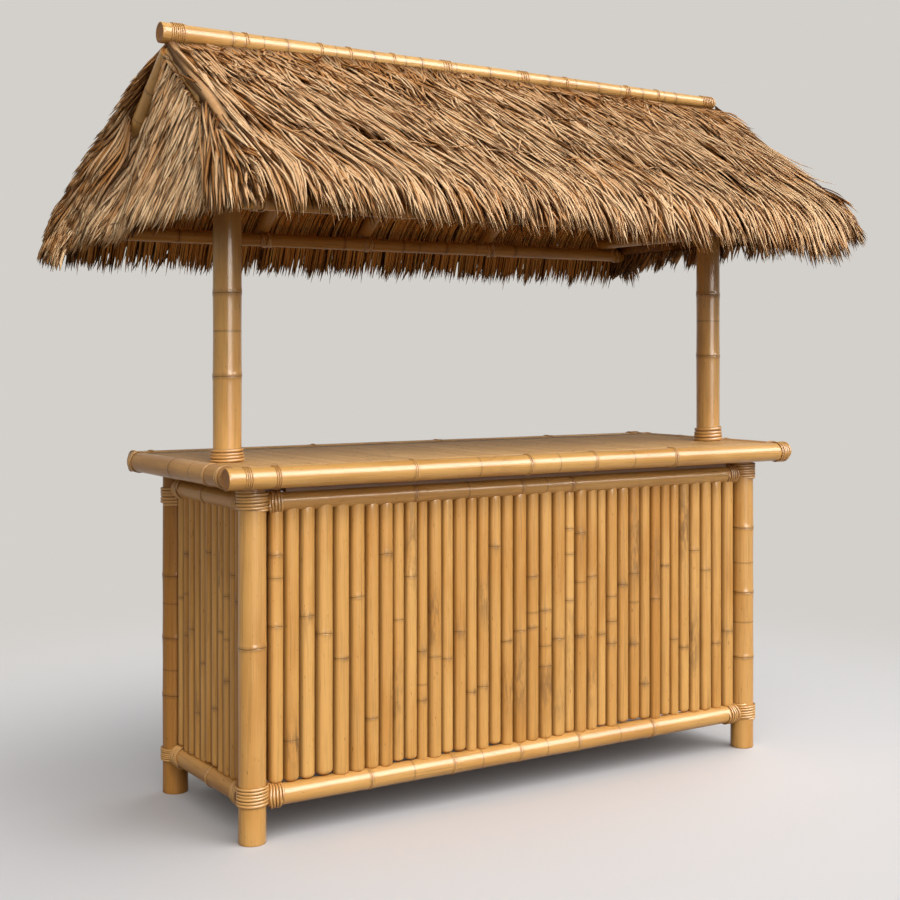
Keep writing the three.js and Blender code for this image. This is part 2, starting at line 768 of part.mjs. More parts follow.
/** Lashings round the corner posts at both rails, and collars round the feet of the roof posts. */
function addLashings(group) {
  const postRings = lashingRings(cornerPostRadius, lashingTurns);
  const collarRings = lashingRings(roofPostRadius, collarTurns);
  console.log(`corner lashing, least gap to itself: ${leastSelfGap(postRings).toFixed(2)} mm`);
  console.log(`post collar, least gap to itself: ${leastSelfGap(collarRings).toFixed(2)} mm`);
  for (const [side, x] of [["left", -postX], ["right", postX]]) {
    for (const [face, y] of [["front", -postY], ["rear", postY]]) {
      for (const [level, z] of [["bottom", bottomLashingFoot], ["top", topLashingFoot]]) {
        const name = `lashing_${level}_${face}_${side}`;
        addPiece(group, name, lashing(postRings), finish(rattanColour, 0.5), [x, y, z]);
      }
    }
    const collarPlace = [x, -roofPostSetback, deckTop + clearance];
    addPiece(group, `post_collar_${side}`, lashing(collarRings), finish(rattanColour, 0.5), collarPlace);
  }
}

const group = new THREE.Group();
addCornerPosts(group);
addRails(group);
addCaneWalls(group);
addShelves(group);
addDeck(group);
addCounterPoles(group);
addRoofPosts(group);
addPurlinsAndTies(group);
addRidge(group);
for (const face of ["front", "rear"]) {
  const slope = slopeFrame(group, face);
  addRafters(slope, face);
  addThatch(slope, face);
}
addGableSkirts(group);
addLashings(group);

export default group;
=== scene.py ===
"""Looks of a bamboo bar hut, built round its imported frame.

Metres. +X runs along the bar, +Y points to the serving side, +Z is up. Every surface is worked out on a
grid with numpy: a profile carried along a path, or a blade of leaf laid over the roof.
"""

import logging
import math
from dataclasses import dataclass, field
from enum import Enum

import bpy
import numpy as np
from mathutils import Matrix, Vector


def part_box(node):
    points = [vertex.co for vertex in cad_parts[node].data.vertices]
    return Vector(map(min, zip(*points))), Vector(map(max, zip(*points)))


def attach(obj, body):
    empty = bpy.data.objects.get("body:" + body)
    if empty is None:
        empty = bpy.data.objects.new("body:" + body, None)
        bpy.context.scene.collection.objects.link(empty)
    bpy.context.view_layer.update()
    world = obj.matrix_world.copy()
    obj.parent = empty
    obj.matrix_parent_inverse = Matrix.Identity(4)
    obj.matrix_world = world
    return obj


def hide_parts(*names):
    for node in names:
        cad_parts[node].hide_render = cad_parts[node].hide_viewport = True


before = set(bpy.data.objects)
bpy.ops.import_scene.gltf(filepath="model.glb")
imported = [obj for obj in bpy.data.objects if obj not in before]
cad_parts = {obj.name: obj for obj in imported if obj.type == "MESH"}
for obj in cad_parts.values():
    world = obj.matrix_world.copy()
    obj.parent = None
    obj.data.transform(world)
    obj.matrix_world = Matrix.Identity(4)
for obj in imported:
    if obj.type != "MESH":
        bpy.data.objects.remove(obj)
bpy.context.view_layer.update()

Array = np.ndarray
Material = bpy.types.Material
Socket = bpy.types.NodeSocket
log = logging.getLogger("hut")

ALONG, BACK, UP = np.eye(3)
TAU = 2.0 * math.pi
# Angle of the roof's slopes, and height at which the rafters' backs meet.
PITCH = math.radians(36.0)
PEAK = 2.3167


class Slot(Enum):
    """Material slots; each piece is handed one, which nothing in this script reads."""

    POLE = "bamboo_pole"
    ROOF_POLE = "roof_pole"
    CANE = "cane"
    SLAT = "deck_slat"
    BOARD = "shelf_board"
    RATTAN = "rattan"
    THATCH = "thatch"


class Cut(Enum):
    """How a culm ends."""

    FLAT = "flat"
    ROUNDED = "rounded"
    COPED = "coped"


class Labelled(Enum):
    """Choice that pieces are named after."""

    @property
    def label(self) -> str:
        """The choice's name in small letters."""
        return self.name.lower()


class Face(Labelled):
    """Side of the roof: the guests' slope or the serving slope."""

    FRONT = -1
    REAR = 1


class Side(Labelled):
    """End of the hut, as the guests see it."""

    LEFT = -1
    RIGHT = 1


def srgb(red: float, green: float, blue: float) -> tuple[float, float, float, float]:
    """Turns a colour of 0 to 255 as seen on a screen into the linear values of a shader.

    Args:
        red: Red, 0 to 255.
        green: Green, 0 to 255.
        blue: Blue, 0 to 255.

    Returns:
        Linear red, green and blue, and an alpha of one.
    """
    share = np.array([red, green, blue]) / 255.0
    linear = np.where(share <= 0.04045, share / 12.92, ((share + 0.055) / 1.055) ** 2.4)
    return (*linear.tolist(), 1.0)


def palette(*colours: tuple) -> list[tuple]:
    """Linear values of several colours of 0 to 255."""
    return [srgb(*colour) for colour in colours]


def unit(vector: Array) -> Array:
    """Vectors of length one, along the last axis."""
    return vector / np.maximum(np.linalg.norm(vector, axis=-1, keepdims=True), 1e-12)


def smooth_step(value: Array, start: float = 0.0, width: float = 1.0) -> Array:
    """Rises from 0 to 1 over a width, level at both ends: 3 v squared minus 2 v cubed."""
    v = np.clip((value - start) / width, 0.0, 1.0)
    return v * v * (3.0 - 2.0 * v)


def box(node: str) -> tuple[Array, Array]:
    """Lowest and highest corner of a node."""
    low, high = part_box(node)
    return np.array(low), np.array(high)


# Finishes


@dataclass
class Wiring:
    """Short way to lay out a node tree. A value is a socket, a number or a colour."""

    tree: bpy.types.NodeTree

    def add(self, kind: str, inputs: dict | None = None, **settings: object) -> bpy.types.Node:
        """Adds a node, sets its properties and feeds its inputs.

        Args:
            kind: The node's type name.
            inputs: Values by the input's name or number.
            **settings: Properties of the node.

        Returns:
            The node.
        """
        node = self.tree.nodes.new(kind)
        for name, value in settings.items():
            setattr(node, name, value)
        self.feed(node, inputs or {})
        return node

    def feed(self, node: bpy.types.Node, inputs: dict) -> None:
        """Links the sockets among some values to a node's inputs, and sets the others on them.

        Args:
            node: The node.
            inputs: Values by the input's name or number.
        """
        for name, value in inputs.items():
            if isinstance(value, Socket):
                self.tree.links.new(value, node.inputs[name])
            else:
                node.inputs[name].default_value = value

    def read(self, name: str, output: str = "Fac") -> Socket:
        """Value that the piece's points hold under a name."""
        return self.add("ShaderNodeAttribute", attribute_name=name).outputs[output]

    def place(self) -> Socket:
        """Place on the piece, in the piece's own frame."""
        return self.add("ShaderNodeTexCoord").outputs["Object"]

    def split(self, vector: Socket) -> list[Socket]:
        """The three parts of a vector."""
        return list(self.add("ShaderNodeSeparateXYZ", {0: vector}).outputs)

    def reach(self, vector: Socket) -> Socket:
        """Distance of a place from the Z axis."""
        flat = self.add("ShaderNodeVectorMath", {0: vector, 1: (1.0, 1.0, 0.0)}, operation="MULTIPLY")
        return self.add("ShaderNodeVectorMath", {0: flat.outputs[0]}, operation="LENGTH").outputs["Value"]

    def noise(self, vector: Socket, scale: tuple, detail: float = 3.0, rough: float = 0.6) -> Socket:
        """Noise with its own scale along each axis.

        Args:
            vector: Place.
            scale: Scale along x, y and z.
            detail: Number of finer layers.
            rough: Strength of the finer layers.

        Returns:
            Value from 0 to 1.
        """
        place = self.add("ShaderNodeMapping", {"Vector": vector, "Scale": scale}).outputs["Vector"]
        inputs = {"Vector": place, "Scale": 1.0, "Detail": detail, "Roughness": rough}
        return self.add("ShaderNodeTexNoise", inputs, noise_dimensions="3D").outputs["Fac"]

    def span(self, value: Socket, low: float, high: float, to_low: float = 0.0, to_high: float = 1.0) -> Socket:
        """Maps a range to another one and clamps it, with smooth ends.

        Args:
            value: Value to map.
            low: Start of the range.
            high: End of the range.
            to_low: Result at the start.
            to_high: Result at the end.

        Returns:
            The result.
        """
        inputs = {"Value": value, "From Min": low, "From Max": high, "To Min": to_low, "To Max": to_high}
        return self.add("ShaderNodeMapRange", inputs, interpolation_type="SMOOTHSTEP").outputs["Result"]

    def math(self, operation: str, first: object, second: object = 0.0) -> Socket:
        """Arithmetic on two values, by the operation's name."""
        return self.add("ShaderNodeMath", {0: first, 1: second}, operation=operation).outputs[0]

    def mix(self, share: object, first: object, second: object) -> Socket:
        """Mixes two colours by the share of the second."""
        return self.add("ShaderNodeMix", {"Factor": share, 6: first, 7: second}, data_type="RGBA").outputs[2]

    def cover(self, colour: object, over: object, value: Socket, low: float, high: float, share: float) -> Socket:
        """Lays a colour over another one where a value is high.

        Args:
            colour: Colour below.
            over: Colour above.
            value: Value that decides.
            low: Value at which the upper colour starts to show.
            high: Value at which its full share shows.
            share: Its full share.

        Returns:
            The mixed colour.
        """
        return self.mix(self.span(value, low, high, 0.0, share), colour, over)

    def bump(self, height: Socket, distance: float, strength: float) -> Socket:
        """Normal of a relief of some depth in metres."""
        inputs = {"Height": height, "Distance": distance, "Strength": strength}
        return self.add("ShaderNodeBump", inputs).outputs["Normal"]

    def seen(self) -> Socket:
        """One for what the camera sees or what shows in gloss, zero for light on a matt surface."""
        rays = self.add("ShaderNodeLightPath").outputs
        return self.math("MAXIMUM", rays["Is Camera Ray"], rays["Is Glossy Ray"])


@dataclass(frozen=True)
class Finish:
    """Material of pieces; each kind says what its shader's inputs are."""

    name: str

    def inputs(self, w: Wiring) -> dict:
        """Values of the shader's inputs, by name."""
        return {}

    def build(self) -> Material:
        """Makes the material.

        Returns:
            The material.
        """
        material = bpy.data.materials.new(self.name)
        material.use_nodes = True
        w = Wiring(material.node_tree)
        w.feed(w.tree.nodes["Principled BSDF"], self.inputs(w))
        return material


@dataclass(frozen=True)
class CulmFinish(Finish):
    """Varnished bamboo: fibres along the culm, clouds of tone, stains, a dark scar at each joint, and where asked
    painted shade on its sides.
    """

    light: tuple
    deep: tuple
    stain: tuple
    scar: tuple
    cut: tuple
    roughness: float = 0.34
    coat: float = 0.3
    coat_ior: float = 1.5
    coat_roughness: float = 0.2
    specular: float = 0.1
    fibre_depth: float = 0.00012
    halo: float = 0.35
    halo_width: float = 0.011
    line: float = 0.85
    line_width: float = 0.0016
    flank: float = 0.0
    growth_rings: float = 1150.0

    def inputs(self, w: Wiring) -> dict:
        """Lays out the finish; it reads culm, ring, tone, stain, cut and a side share for painted shade from the
        piece's points.

        Args:
            w: Wiring of the material.

        Returns:
            Values of the shader's inputs, by name.
        """
        culm, cut = w.read("culm", "Vector"), w.read("cut")
        fibres = w.noise(culm, (420.0, 420.0, 7.0))
        grain = w.noise(culm, (110.0, 110.0, 2.4), 4.0)
        clouds = w.noise(culm, (14.0, 14.0, 3.2), 3.0, 0.5)
        blots = w.noise(culm, (70.0, 70.0, 16.0), 4.0, 0.65)
        specks = w.noise(culm, (230.0, 230.0, 42.0), 1.0, 0.4)
        pith = w.noise(culm, (500.0, 500.0, 500.0), 2.0)
        colour = w.mix(w.read("tone"), self.light, self.deep)
        colour = w.cover(colour, self.deep, clouds, 0.42, 0.72, 0.55)
        colour = w.cover(colour, self.stain, grain, 0.5, 0.78, 0.42)
        colour = w.cover(colour, self.scar, fibres, 0.5, 0.8, 0.35)
        colour = w.mix(w.math("MULTIPLY", w.read("stain"), w.span(blots, 0.36, 0.62)), colour, self.stain)
        colour = w.cover(colour, self.scar, specks, 0.735, 0.78, 0.55)
        away = w.math("ABSOLUTE", w.read("ring"))
        ragged = w.math("SUBTRACT", away, w.span(blots, 0.3, 0.8, 0.0, 0.006))
        colour = w.mix(w.span(ragged, 0.0, self.halo_width, self.halo, 0.0), colour, self.stain)
        colour = w.mix(w.span(away, 0.0003, self.line_width, self.line, 0.0), colour, self.scar)
        # Painted shade: the culm's sides, where they turn away and meet their neighbours, are darkened towards the
        # scar colour.
        if self.flank:
            colour = w.cover(colour, self.scar, w.read("flank"), 0.6, 1.0, self.flank)
        wave = w.math("SINE", w.math("MULTIPLY", w.reach(culm), self.growth_rings))
        wood = w.cover(self.cut, self.scar, wave, -0.2, 0.9, 0.55)
        wood = w.cover(wood, self.scar, pith, 0.55, 0.75, 0.5)
        return {
            "Base Color": w.mix(cut, colour, wood),
            "Roughness": self.roughness,
            "Specular IOR Level": self.specular,
            "Coat Weight": w.span(cut, 0.0, 0.5, self.coat, 0.0),
            "Coat Roughness": self.coat_roughness,
            "Coat IOR": self.coat_ior,
            "Normal": w.bump(fibres, self.fibre_depth, 0.5),
        }


@dataclass(frozen=True)
class RattanFinish(Finish):
    """Split rattan: streaks along the strand, with painted shade at its edges where the turns meet."""

    light: tuple
    deep: tuple
    gap: tuple

    def inputs(self, w: Wiring) -> dict:
        """Lays out the finish; it reads strand (across, round, along) and tone from the points.

        Args:
            w: Wiring of the material.

        Returns:
            Values of the shader's inputs, by name.
        """
        strand = w.read("strand", "Vector")
        streaks = w.noise(strand, (3.2, 1.0, 9.0), 4.0, 0.65)
        clouds = w.noise(strand, (0.6, 0.6, 40.0), 2.0, 0.5)
        across, _, _ = w.split(strand)
        colour = w.mix(w.read("tone"), self.light, self.deep)
        colour = w.cover(colour, self.deep, streaks, 0.45, 0.75, 0.6)
        colour = w.cover(colour, self.deep, clouds, 0.5, 0.75, 0.5)
        # Painted shade: the strand's edges, in the crease between turns, are darkened towards the gap colour.
        return {
            "Base Color": w.cover(colour, self.gap, w.math("ABSOLUTE", across), 0.72, 1.0, 0.85),
            "Roughness": 0.42,
            "Coat Weight": 0.12,
            "Coat Roughness": 0.25,
            "Normal": w.bump(streaks, 0.0003, 0.5),
        }


@dataclass(frozen=True)
class LeafFinish(Finish):
    """Dry palm leaf: each blade has its own tone, with painted shade at its root, where other blades lie over it, and
    along its edges, between blades.
    """

    dark: tuple
    middle: tuple
    light: tuple
    # Shares of painted shade at the blades' roots and along their edges.
    shade: float = 0.5
    rim: float = 0.5

    def inputs(self, w: Wiring) -> dict:
        """Lays out the finish; it reads blade (across, share of length, tone) from the points.

        Args:
            w: Wiring of the material.

        Returns:
            Values of the shader's inputs, by name.
        """
        across, along, tone = w.split(w.read("blade", "Vector"))
        ramp = w.add("ShaderNodeValToRGB", {"Fac": tone})
        stops = ramp.color_ramp.elements
        stops[0].color, stops[1].color = self.dark, self.light
        stops.new(0.45).color = self.middle
        mottle = w.noise(w.place(), (60.0, 60.0, 60.0))
        colour = w.cover(ramp.outputs["Color"], self.middle, mottle, 0.45, 0.75, 0.5)
        # Painted shade at the root of each blade, where the blades above cover it.
        colour = w.mix(w.span(along, 0.0, 0.45, self.shade, 0.0), colour, self.dark)
        # Painted shade along the blade's edges, in the gaps between blades.
        colour = w.cover(colour, self.dark, w.math("ABSOLUTE", across), 0.35, 1.0, self.rim)
        return {"Base Color": colour, "Roughness": 0.55, "Specular IOR Level": 0.06}


@dataclass(frozen=True)
class BoardFinish(Finish):
    """Stained plywood: broad grain with fine pores; the stretch is its scale along x, y and z."""

    light: tuple
    deep: tuple
    stretch: tuple = (1.6, 26.0, 26.0)

    def inputs(self, w: Wiring) -> dict:
        """Lays out the finish on Object coordinates.

        Args:
            w: Wiring of the material.

        Returns:
            Values of the shader's inputs, by name.
        """
        broad = w.noise(w.place(), self.stretch, 4.0)
        pores = w.noise(w.place(), tuple(16.0 * value for value in self.stretch), 2.0)
        colour = w.cover(self.light, self.deep, broad, 0.35, 0.68, 1.0)
        colour = w.cover(colour, self.deep, pores, 0.55, 0.8, 0.5)
        return {"Base Color": colour, "Roughness": 0.6, "Normal": w.bump(pores, 0.0002, 0.4)}


# Meshes


@dataclass
class Skin:
    """Mesh under construction: points, faces, and named values held by the points."""

    points: list[Array] = field(default_factory=list)
    quads: list[Array] = field(default_factory=list)
    triangles: list[Array] = field(default_factory=list)
    values: dict[str, list[Array]] = field(default_factory=dict)
    count: int = 0

    def add_tubes(self, grid: Array, **values: Array) -> None:
        """Adds tubes whose rings close on themselves, with a fan of triangles over each end.

        Args:
            grid: Points by tube, ring and place round the ring, counter-clockwise about the way it runs.
            **values: Values laid out as the grid is, one number or three for each point.
        """
        tubes, rings, sides, _ = grid.shape
        per_tube = rings * sides + 2
        for name, value in {"": grid, **values}.items():
            wide = value.reshape(tubes, rings, sides, -1)
            caps = np.stack([wide[:, 0].mean(1), wide[:, -1].mean(1)], axis=1)
            flat = np.concatenate([wide.reshape(tubes, rings * sides, -1), caps], axis=1)
            held = self.values.setdefault(name, []) if name else self.points
            held.append(flat.reshape(tubes * per_tube, -1))
        ring, place = np.meshgrid(np.arange(rings - 1), np.arange(sides), indexing="ij")
        here = ring * sides + place
        after = ring * sides + (place + 1) % sides
        quads = np.stack([here, after, after + sides, here + sides], axis=-1).reshape(-1, 4)
        turn = np.arange(sides)
        last = (rings - 1) * sides
        start = np.stack([np.full(sides, rings * sides), (turn + 1) % sides, turn], axis=-1)
        finish = np.stack([np.full(sides, rings * sides + 1), last + turn, last + (turn + 1) % sides], axis=-1)
        base = self.count + np.arange(tubes)[:, None, None] * per_tube
        self.quads.append((quads[None] + base).reshape(-1, 4))
        self.triangles.append((np.concatenate([start, finish])[None] + base).reshape(-1, 3))
        self.count += tubes * per_tube

    def add_slab(self, low: Array, high: Array, bevel: float) -> None:
        """Adds a plain board: a rectangle with its corners cut, carried along X.

        Args:
            low: Its lowest corner.
            high: Its highest corner.
            bevel: Width of the cut at its edges.
        """
        x = np.array([low[0], low[0] + bevel, high[0] - bevel, high[0]])
        inset = np.array([bevel, 0.0, 0.0, bevel])
        far = np.array([[0, 1, 1, 1, 1, 0, 0, 0], [0, 0, 0, 1, 1, 1, 1, 0]])
        cuts = np.array([[1, -1, 0, 0, -1, 1, 0, 0], [0, 0, 1, -1, 0, 0, -1, 1]])
        outline = np.where(far, high[1:, None], low[1:, None]) + bevel * cuts
        y, z = outline[:, None] + inset[:, None] * np.where(far, -1, 1)[:, None]
        self.add_tubes(np.stack(np.broadcast_arrays(x[:, None], y, z), axis=-1)[None])

    def add_blades(self, path: Array, outward: Array, width: Array, tone: Array, fold: Array, twist: Array) -> None:
        """Adds leaf blades: a low triangle carried along each path, widest near its middle.

        Args:
            path: Points by blade and station.
            outward: Directions away from the roof, laid out as the path is.
            width: Column of the blades' greatest widths.
            tone: Column of their tones from dark, 0, to pale, 1.
            fold: Column of their midribs' heights as shares of the widths.
            twist: Column of the angles in radians by which they turn from root to tip.
        """
        share = np.linspace(0.0, 1.0, path.shape[1])
        tangent = unit(np.gradient(path, axis=1))
        outward = unit(outward - tangent * (tangent * outward).sum(-1, keepdims=True))
        right = np.cross(outward, tangent)
        angle = (twist * (share - 0.35))[..., None]
        cosine, sine = np.cos(angle), np.sin(angle)
        right, outward = right * cosine + outward * sine, outward * cosine - right * sine
        profile = np.interp(share, [0.0, 0.15, 0.5, 0.8, 1.0], [0.6, 0.95, 1.0, 0.85, 0.08])
        half = (width * profile / 2.0)[..., None]
        rib = half * 2.0 * fold[..., None]
        grid = np.stack([path + right * half, path + outward * rib, path - right * half], axis=2)
        across = np.array([1.0, 0.0, -1.0])
        blade = np.stack(np.broadcast_arrays(across, share[:, None], tone[..., None]), axis=-1)
        self.add_tubes(grid, blade=blade)

    def build(self, name: str, finish: Material, slot: Slot, *nodes: str, smooth: bool = True) -> None:
        """Makes the piece, lets it ride on the hut and hides the nodes that it stands for.

        Args:
            name: The piece's name.
            finish: Its material.
            slot: Not used.
            *nodes: Nodes that it replaces.
            smooth: Whether its faces are shaded smoothly.
        """
        points = np.concatenate(self.points)
        quads, triangles = np.concatenate(self.quads), np.concatenate(self.triangles)
        corners = np.concatenate([quads.ravel(), triangles.ravel()])
        starts = np.concatenate([np.arange(len(quads)) * 4, quads.size + np.arange(len(triangles)) * 3])
        mesh = bpy.data.meshes.new(name)
        mesh.vertices.add(len(points))
        mesh.vertices.foreach_set("co", points.astype(np.float32).ravel())
        mesh.loops.add(len(corners))
        mesh.loops.foreach_set("vertex_index", corners.astype(np.int32))
        mesh.polygons.add(len(starts))
        mesh.polygons.foreach_set("loop_start", starts.astype(np.int32))
        mesh.update(calc_edges=True)
        for key, parts in self.values.items():
            value = np.concatenate(parts).astype(np.float32)
            kind, target = ("FLOAT", "value") if value.shape[1] == 1 else ("FLOAT_VECTOR", "vector")
            mesh.attributes.new(key, kind, "POINT").data.foreach_set(target, value.ravel())
        if smooth:
            mesh.shade_smooth()
        mesh.materials.append(finish)
        piece = bpy.data.objects.new(name, mesh)
        bpy.context.scene.collection.objects.link(piece)
        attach(piece, "root")
        if nodes:
            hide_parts(*nodes)
        log.info("%s: %d faces", name, len(starts))


@dataclass
class Culm:
    """One bamboo pole or cane: a circle carried along a straight line.

    The radius swells by a small cusp at each joint, with a narrow groove on the joint itself, and falls
    by about a hundredth between joints. The distance from a joint is kept up to a limit.
    """

    start: Array
    end: Array
    radius: float
    joints: tuple
    seed: int
    cuts: tuple = (Cut.FLAT, Cut.FLAT)
    tip_radius: float | None = None
    cope: float = 0.0
    cope_across: Array | None = None
    depth_share: float = 1.0
    depth_way: Array | None = None
    stains: tuple = ()
    tone: float = 0.3
    sides: int = 36
    step: float = 0.05
    swell: float = 0.045
    groove: float = 0.03
    lip: float = 0.018
    waist: float = 0.014
    oval: float = 0.006
    askew: float = 0.0012
    fade: float = 0.06
    dome: float = 0.55
    limit: float = 0.06

    def cap_height(self, cut: Cut) -> float:
        """Height of the end piece that closes the culm."""
        return {Cut.FLAT: 0.0018, Cut.ROUNDED: self.radius * self.dome, Cut.COPED: 0.0}[cut]

    def stations(self, length: float) -> Array:
        """Distances along the culm: even ones, and close ones at its joints and ends.

        Args:
            length: The culm's length.

        Returns:
            Distances in rising order.
        """
        near = np.array([0.0, 0.7, 1.4, 2.2, 3.2, 5, 8, 15, 30]) / 1000.0
        even = np.linspace(0.0, length, max(3, int(length / self.step) + 1))
        fine = np.asarray(self.joints)[:, None] + np.concatenate([-near, near])
        first, last = self.cap_height(self.cuts[0]), length - self.cap_height(self.cuts[1])
        ease = np.array([0.0, 0.01, 0.03])
        places = np.unique(np.round(np.concatenate([even, fine.ravel(), first + ease, last - ease]), 5))
        return places[(places >= first - 1e-6) & (places <= last + 1e-6)]

    def outline(self, along: Array, length: float) -> tuple[Array, Array]:
        """Works out the radius: a straight taper times a shape.

        The shape is one, less a sine squared between joints, plus an exponential cusp at each joint,
        less a bell on the joint, plus a lower bell just past it.

        Args:
            along: Distances along the culm.
            length: The culm's length.

        Returns:
            Radii, and signed distances from the nearest joint.
        """
        tip = self.radius if self.tip_radius is None else self.tip_radius
        joints = np.asarray(self.joints, float)
        edges = np.concatenate([[-0.15], joints, [length + 0.15]])
        cell = np.clip(np.searchsorted(edges, along, side="right") - 1, 0, len(edges) - 2)
        share = (along - edges[cell]) / (edges[cell + 1] - edges[cell])
        offset = along[:, None] - joints
        nearest = np.abs(offset).argmin(1)
        away = np.clip(offset[np.arange(len(along)), nearest], -self.limit, self.limit)
        cusp = self.swell * np.exp(-np.abs(offset) / 0.006).sum(1)
        groove = self.groove * np.exp(-((offset / 0.0012) ** 2)).sum(1)
        lip = self.lip * np.exp(-(((offset - 0.0055) / 0.0022) ** 2)).sum(1)
        shape = 1.0 - self.waist * np.sin(np.pi * share) ** 2 + cusp - groove + lip
        return (self.radius + (tip - self.radius) * along / length) * shape, away

    def cap(self, edge: Array, cut: Cut, sign: float) -> Array:
        """Rings that close an end: a thin wall round a shallow hollow, or a dome.

        Args:
            edge: The last ring's x, y, place along the culm, share of cut wood and distance from a joint.
            cut: How the culm ends.
            sign: 1 at its end, -1 at its start.

        Returns:
            Rings from the edge inwards, each laid out as the edge is.
        """
        if cut is Cut.FLAT:
            shares = np.array([0.985, 0.95, 0.8, 0.72, 0.68, 0.45, 0.2])
            rises = np.array([0.0012, 0.0018, 0.0018, 0.0018, 0.0010, 0.0010, 0.0010])
            marks = shares < 0.98
        else:
            turn = np.linspace(0.15, 1.35, 7)
            shares, rises, marks = np.cos(turn), np.sin(turn) * self.radius * self.dome, np.zeros(7)
        rings = np.repeat(edge[None], len(shares), axis=0)
        rings[..., :2] *= shares[:, None, None]
        rings[..., 2] += sign * rises[:, None]
        rings[..., 3] = marks[:, None]
        rings[..., 4] = self.limit
        return rings

    def skin(self, skin: Skin) -> None:
        """Adds the culm to a mesh.

        Its section is an oval that turns slowly along it; the joints run a little askew by two sines
        of the angle; a stain is a bell along the culm times a cosine round it.

        Args:
            skin: The mesh under construction.
        """
        way = self.end - self.start
        length = float(np.linalg.norm(way))
        way = way / length
        reference = self.depth_way if self.depth_way is not None else (UP if abs(way[2]) < 0.9 else -BACK)
        first = unit(reference - way * float(way @ reference))
        second = np.cross(way, first)
        along = self.stations(length)
        radius, away = self.outline(along, length)
        angle = np.arange(self.sides) / self.sides * TAU
        phase = np.random.default_rng(self.seed).uniform(0, TAU, 4)
        reach = radius[:, None] * (1.0 + self.oval * np.sin(2 * angle + phase[0] + 3.0 * along[:, None]))
        x, y = np.cos(angle) * reach * self.depth_share, np.sin(angle) * reach
        slip = self.askew * np.sin(angle + phase[1]) + self.askew / 2.0 * np.sin(3 * angle + phase[2])
        weight = np.exp(-((away / 0.03) ** 2)) * (np.minimum(along, length - along) > 0.02)
        place = along[:, None] + weight[:, None] * slip
        if self.cope_across is not None:
            sideways = x * float(first @ self.cope_across) + y * float(second @ self.cope_across)
            shift = self.cope - np.sqrt(np.maximum(self.cope**2 - sideways**2, 0.0))
            place = place - shift * (1.0 - smooth_step(along, 0.0, self.fade))[:, None]
            place = place + shift * (1.0 - smooth_step(length - along, 0.0, self.fade))[:, None]
        rings = np.stack(np.broadcast_arrays(x, y, place, 0.0, away[:, None]), axis=-1)
        start_cut, end_cut = self.cuts
        if start_cut is not Cut.COPED:
            rings = np.concatenate([self.cap(rings[0], start_cut, -1.0)[::-1], rings])
        if end_cut is not Cut.COPED:
            rings = np.concatenate([rings, self.cap(rings[-1], end_cut, 1.0)])
        x, y, place, cut, away = np.moveaxis(rings, -1, 0)
        stain = np.zeros_like(place)
        turned = np.arctan2(y, x)
        for centre, strength, spread, side in self.stains:
            facing = 0.5 + 0.5 * np.cos(turned - side)
            stain = np.maximum(stain, strength * np.exp(-(((place - centre) / spread) ** 2)) * facing)
        grid = self.start + x[..., None] * first + y[..., None] * second + place[..., None] * way
        # The side share, the size of the sine of the angle round the culm, is what the finish darkens as painted
        # shade.
        skin.add_tubes(
            grid[None],
            culm=np.stack([x, y, place + self.seed * 7.31], axis=-1),
            ring=away,
            tone=np.full_like(place, self.tone),
            stain=stain,
            cut=cut,
            flank=np.abs(np.sin(turned)),
        )


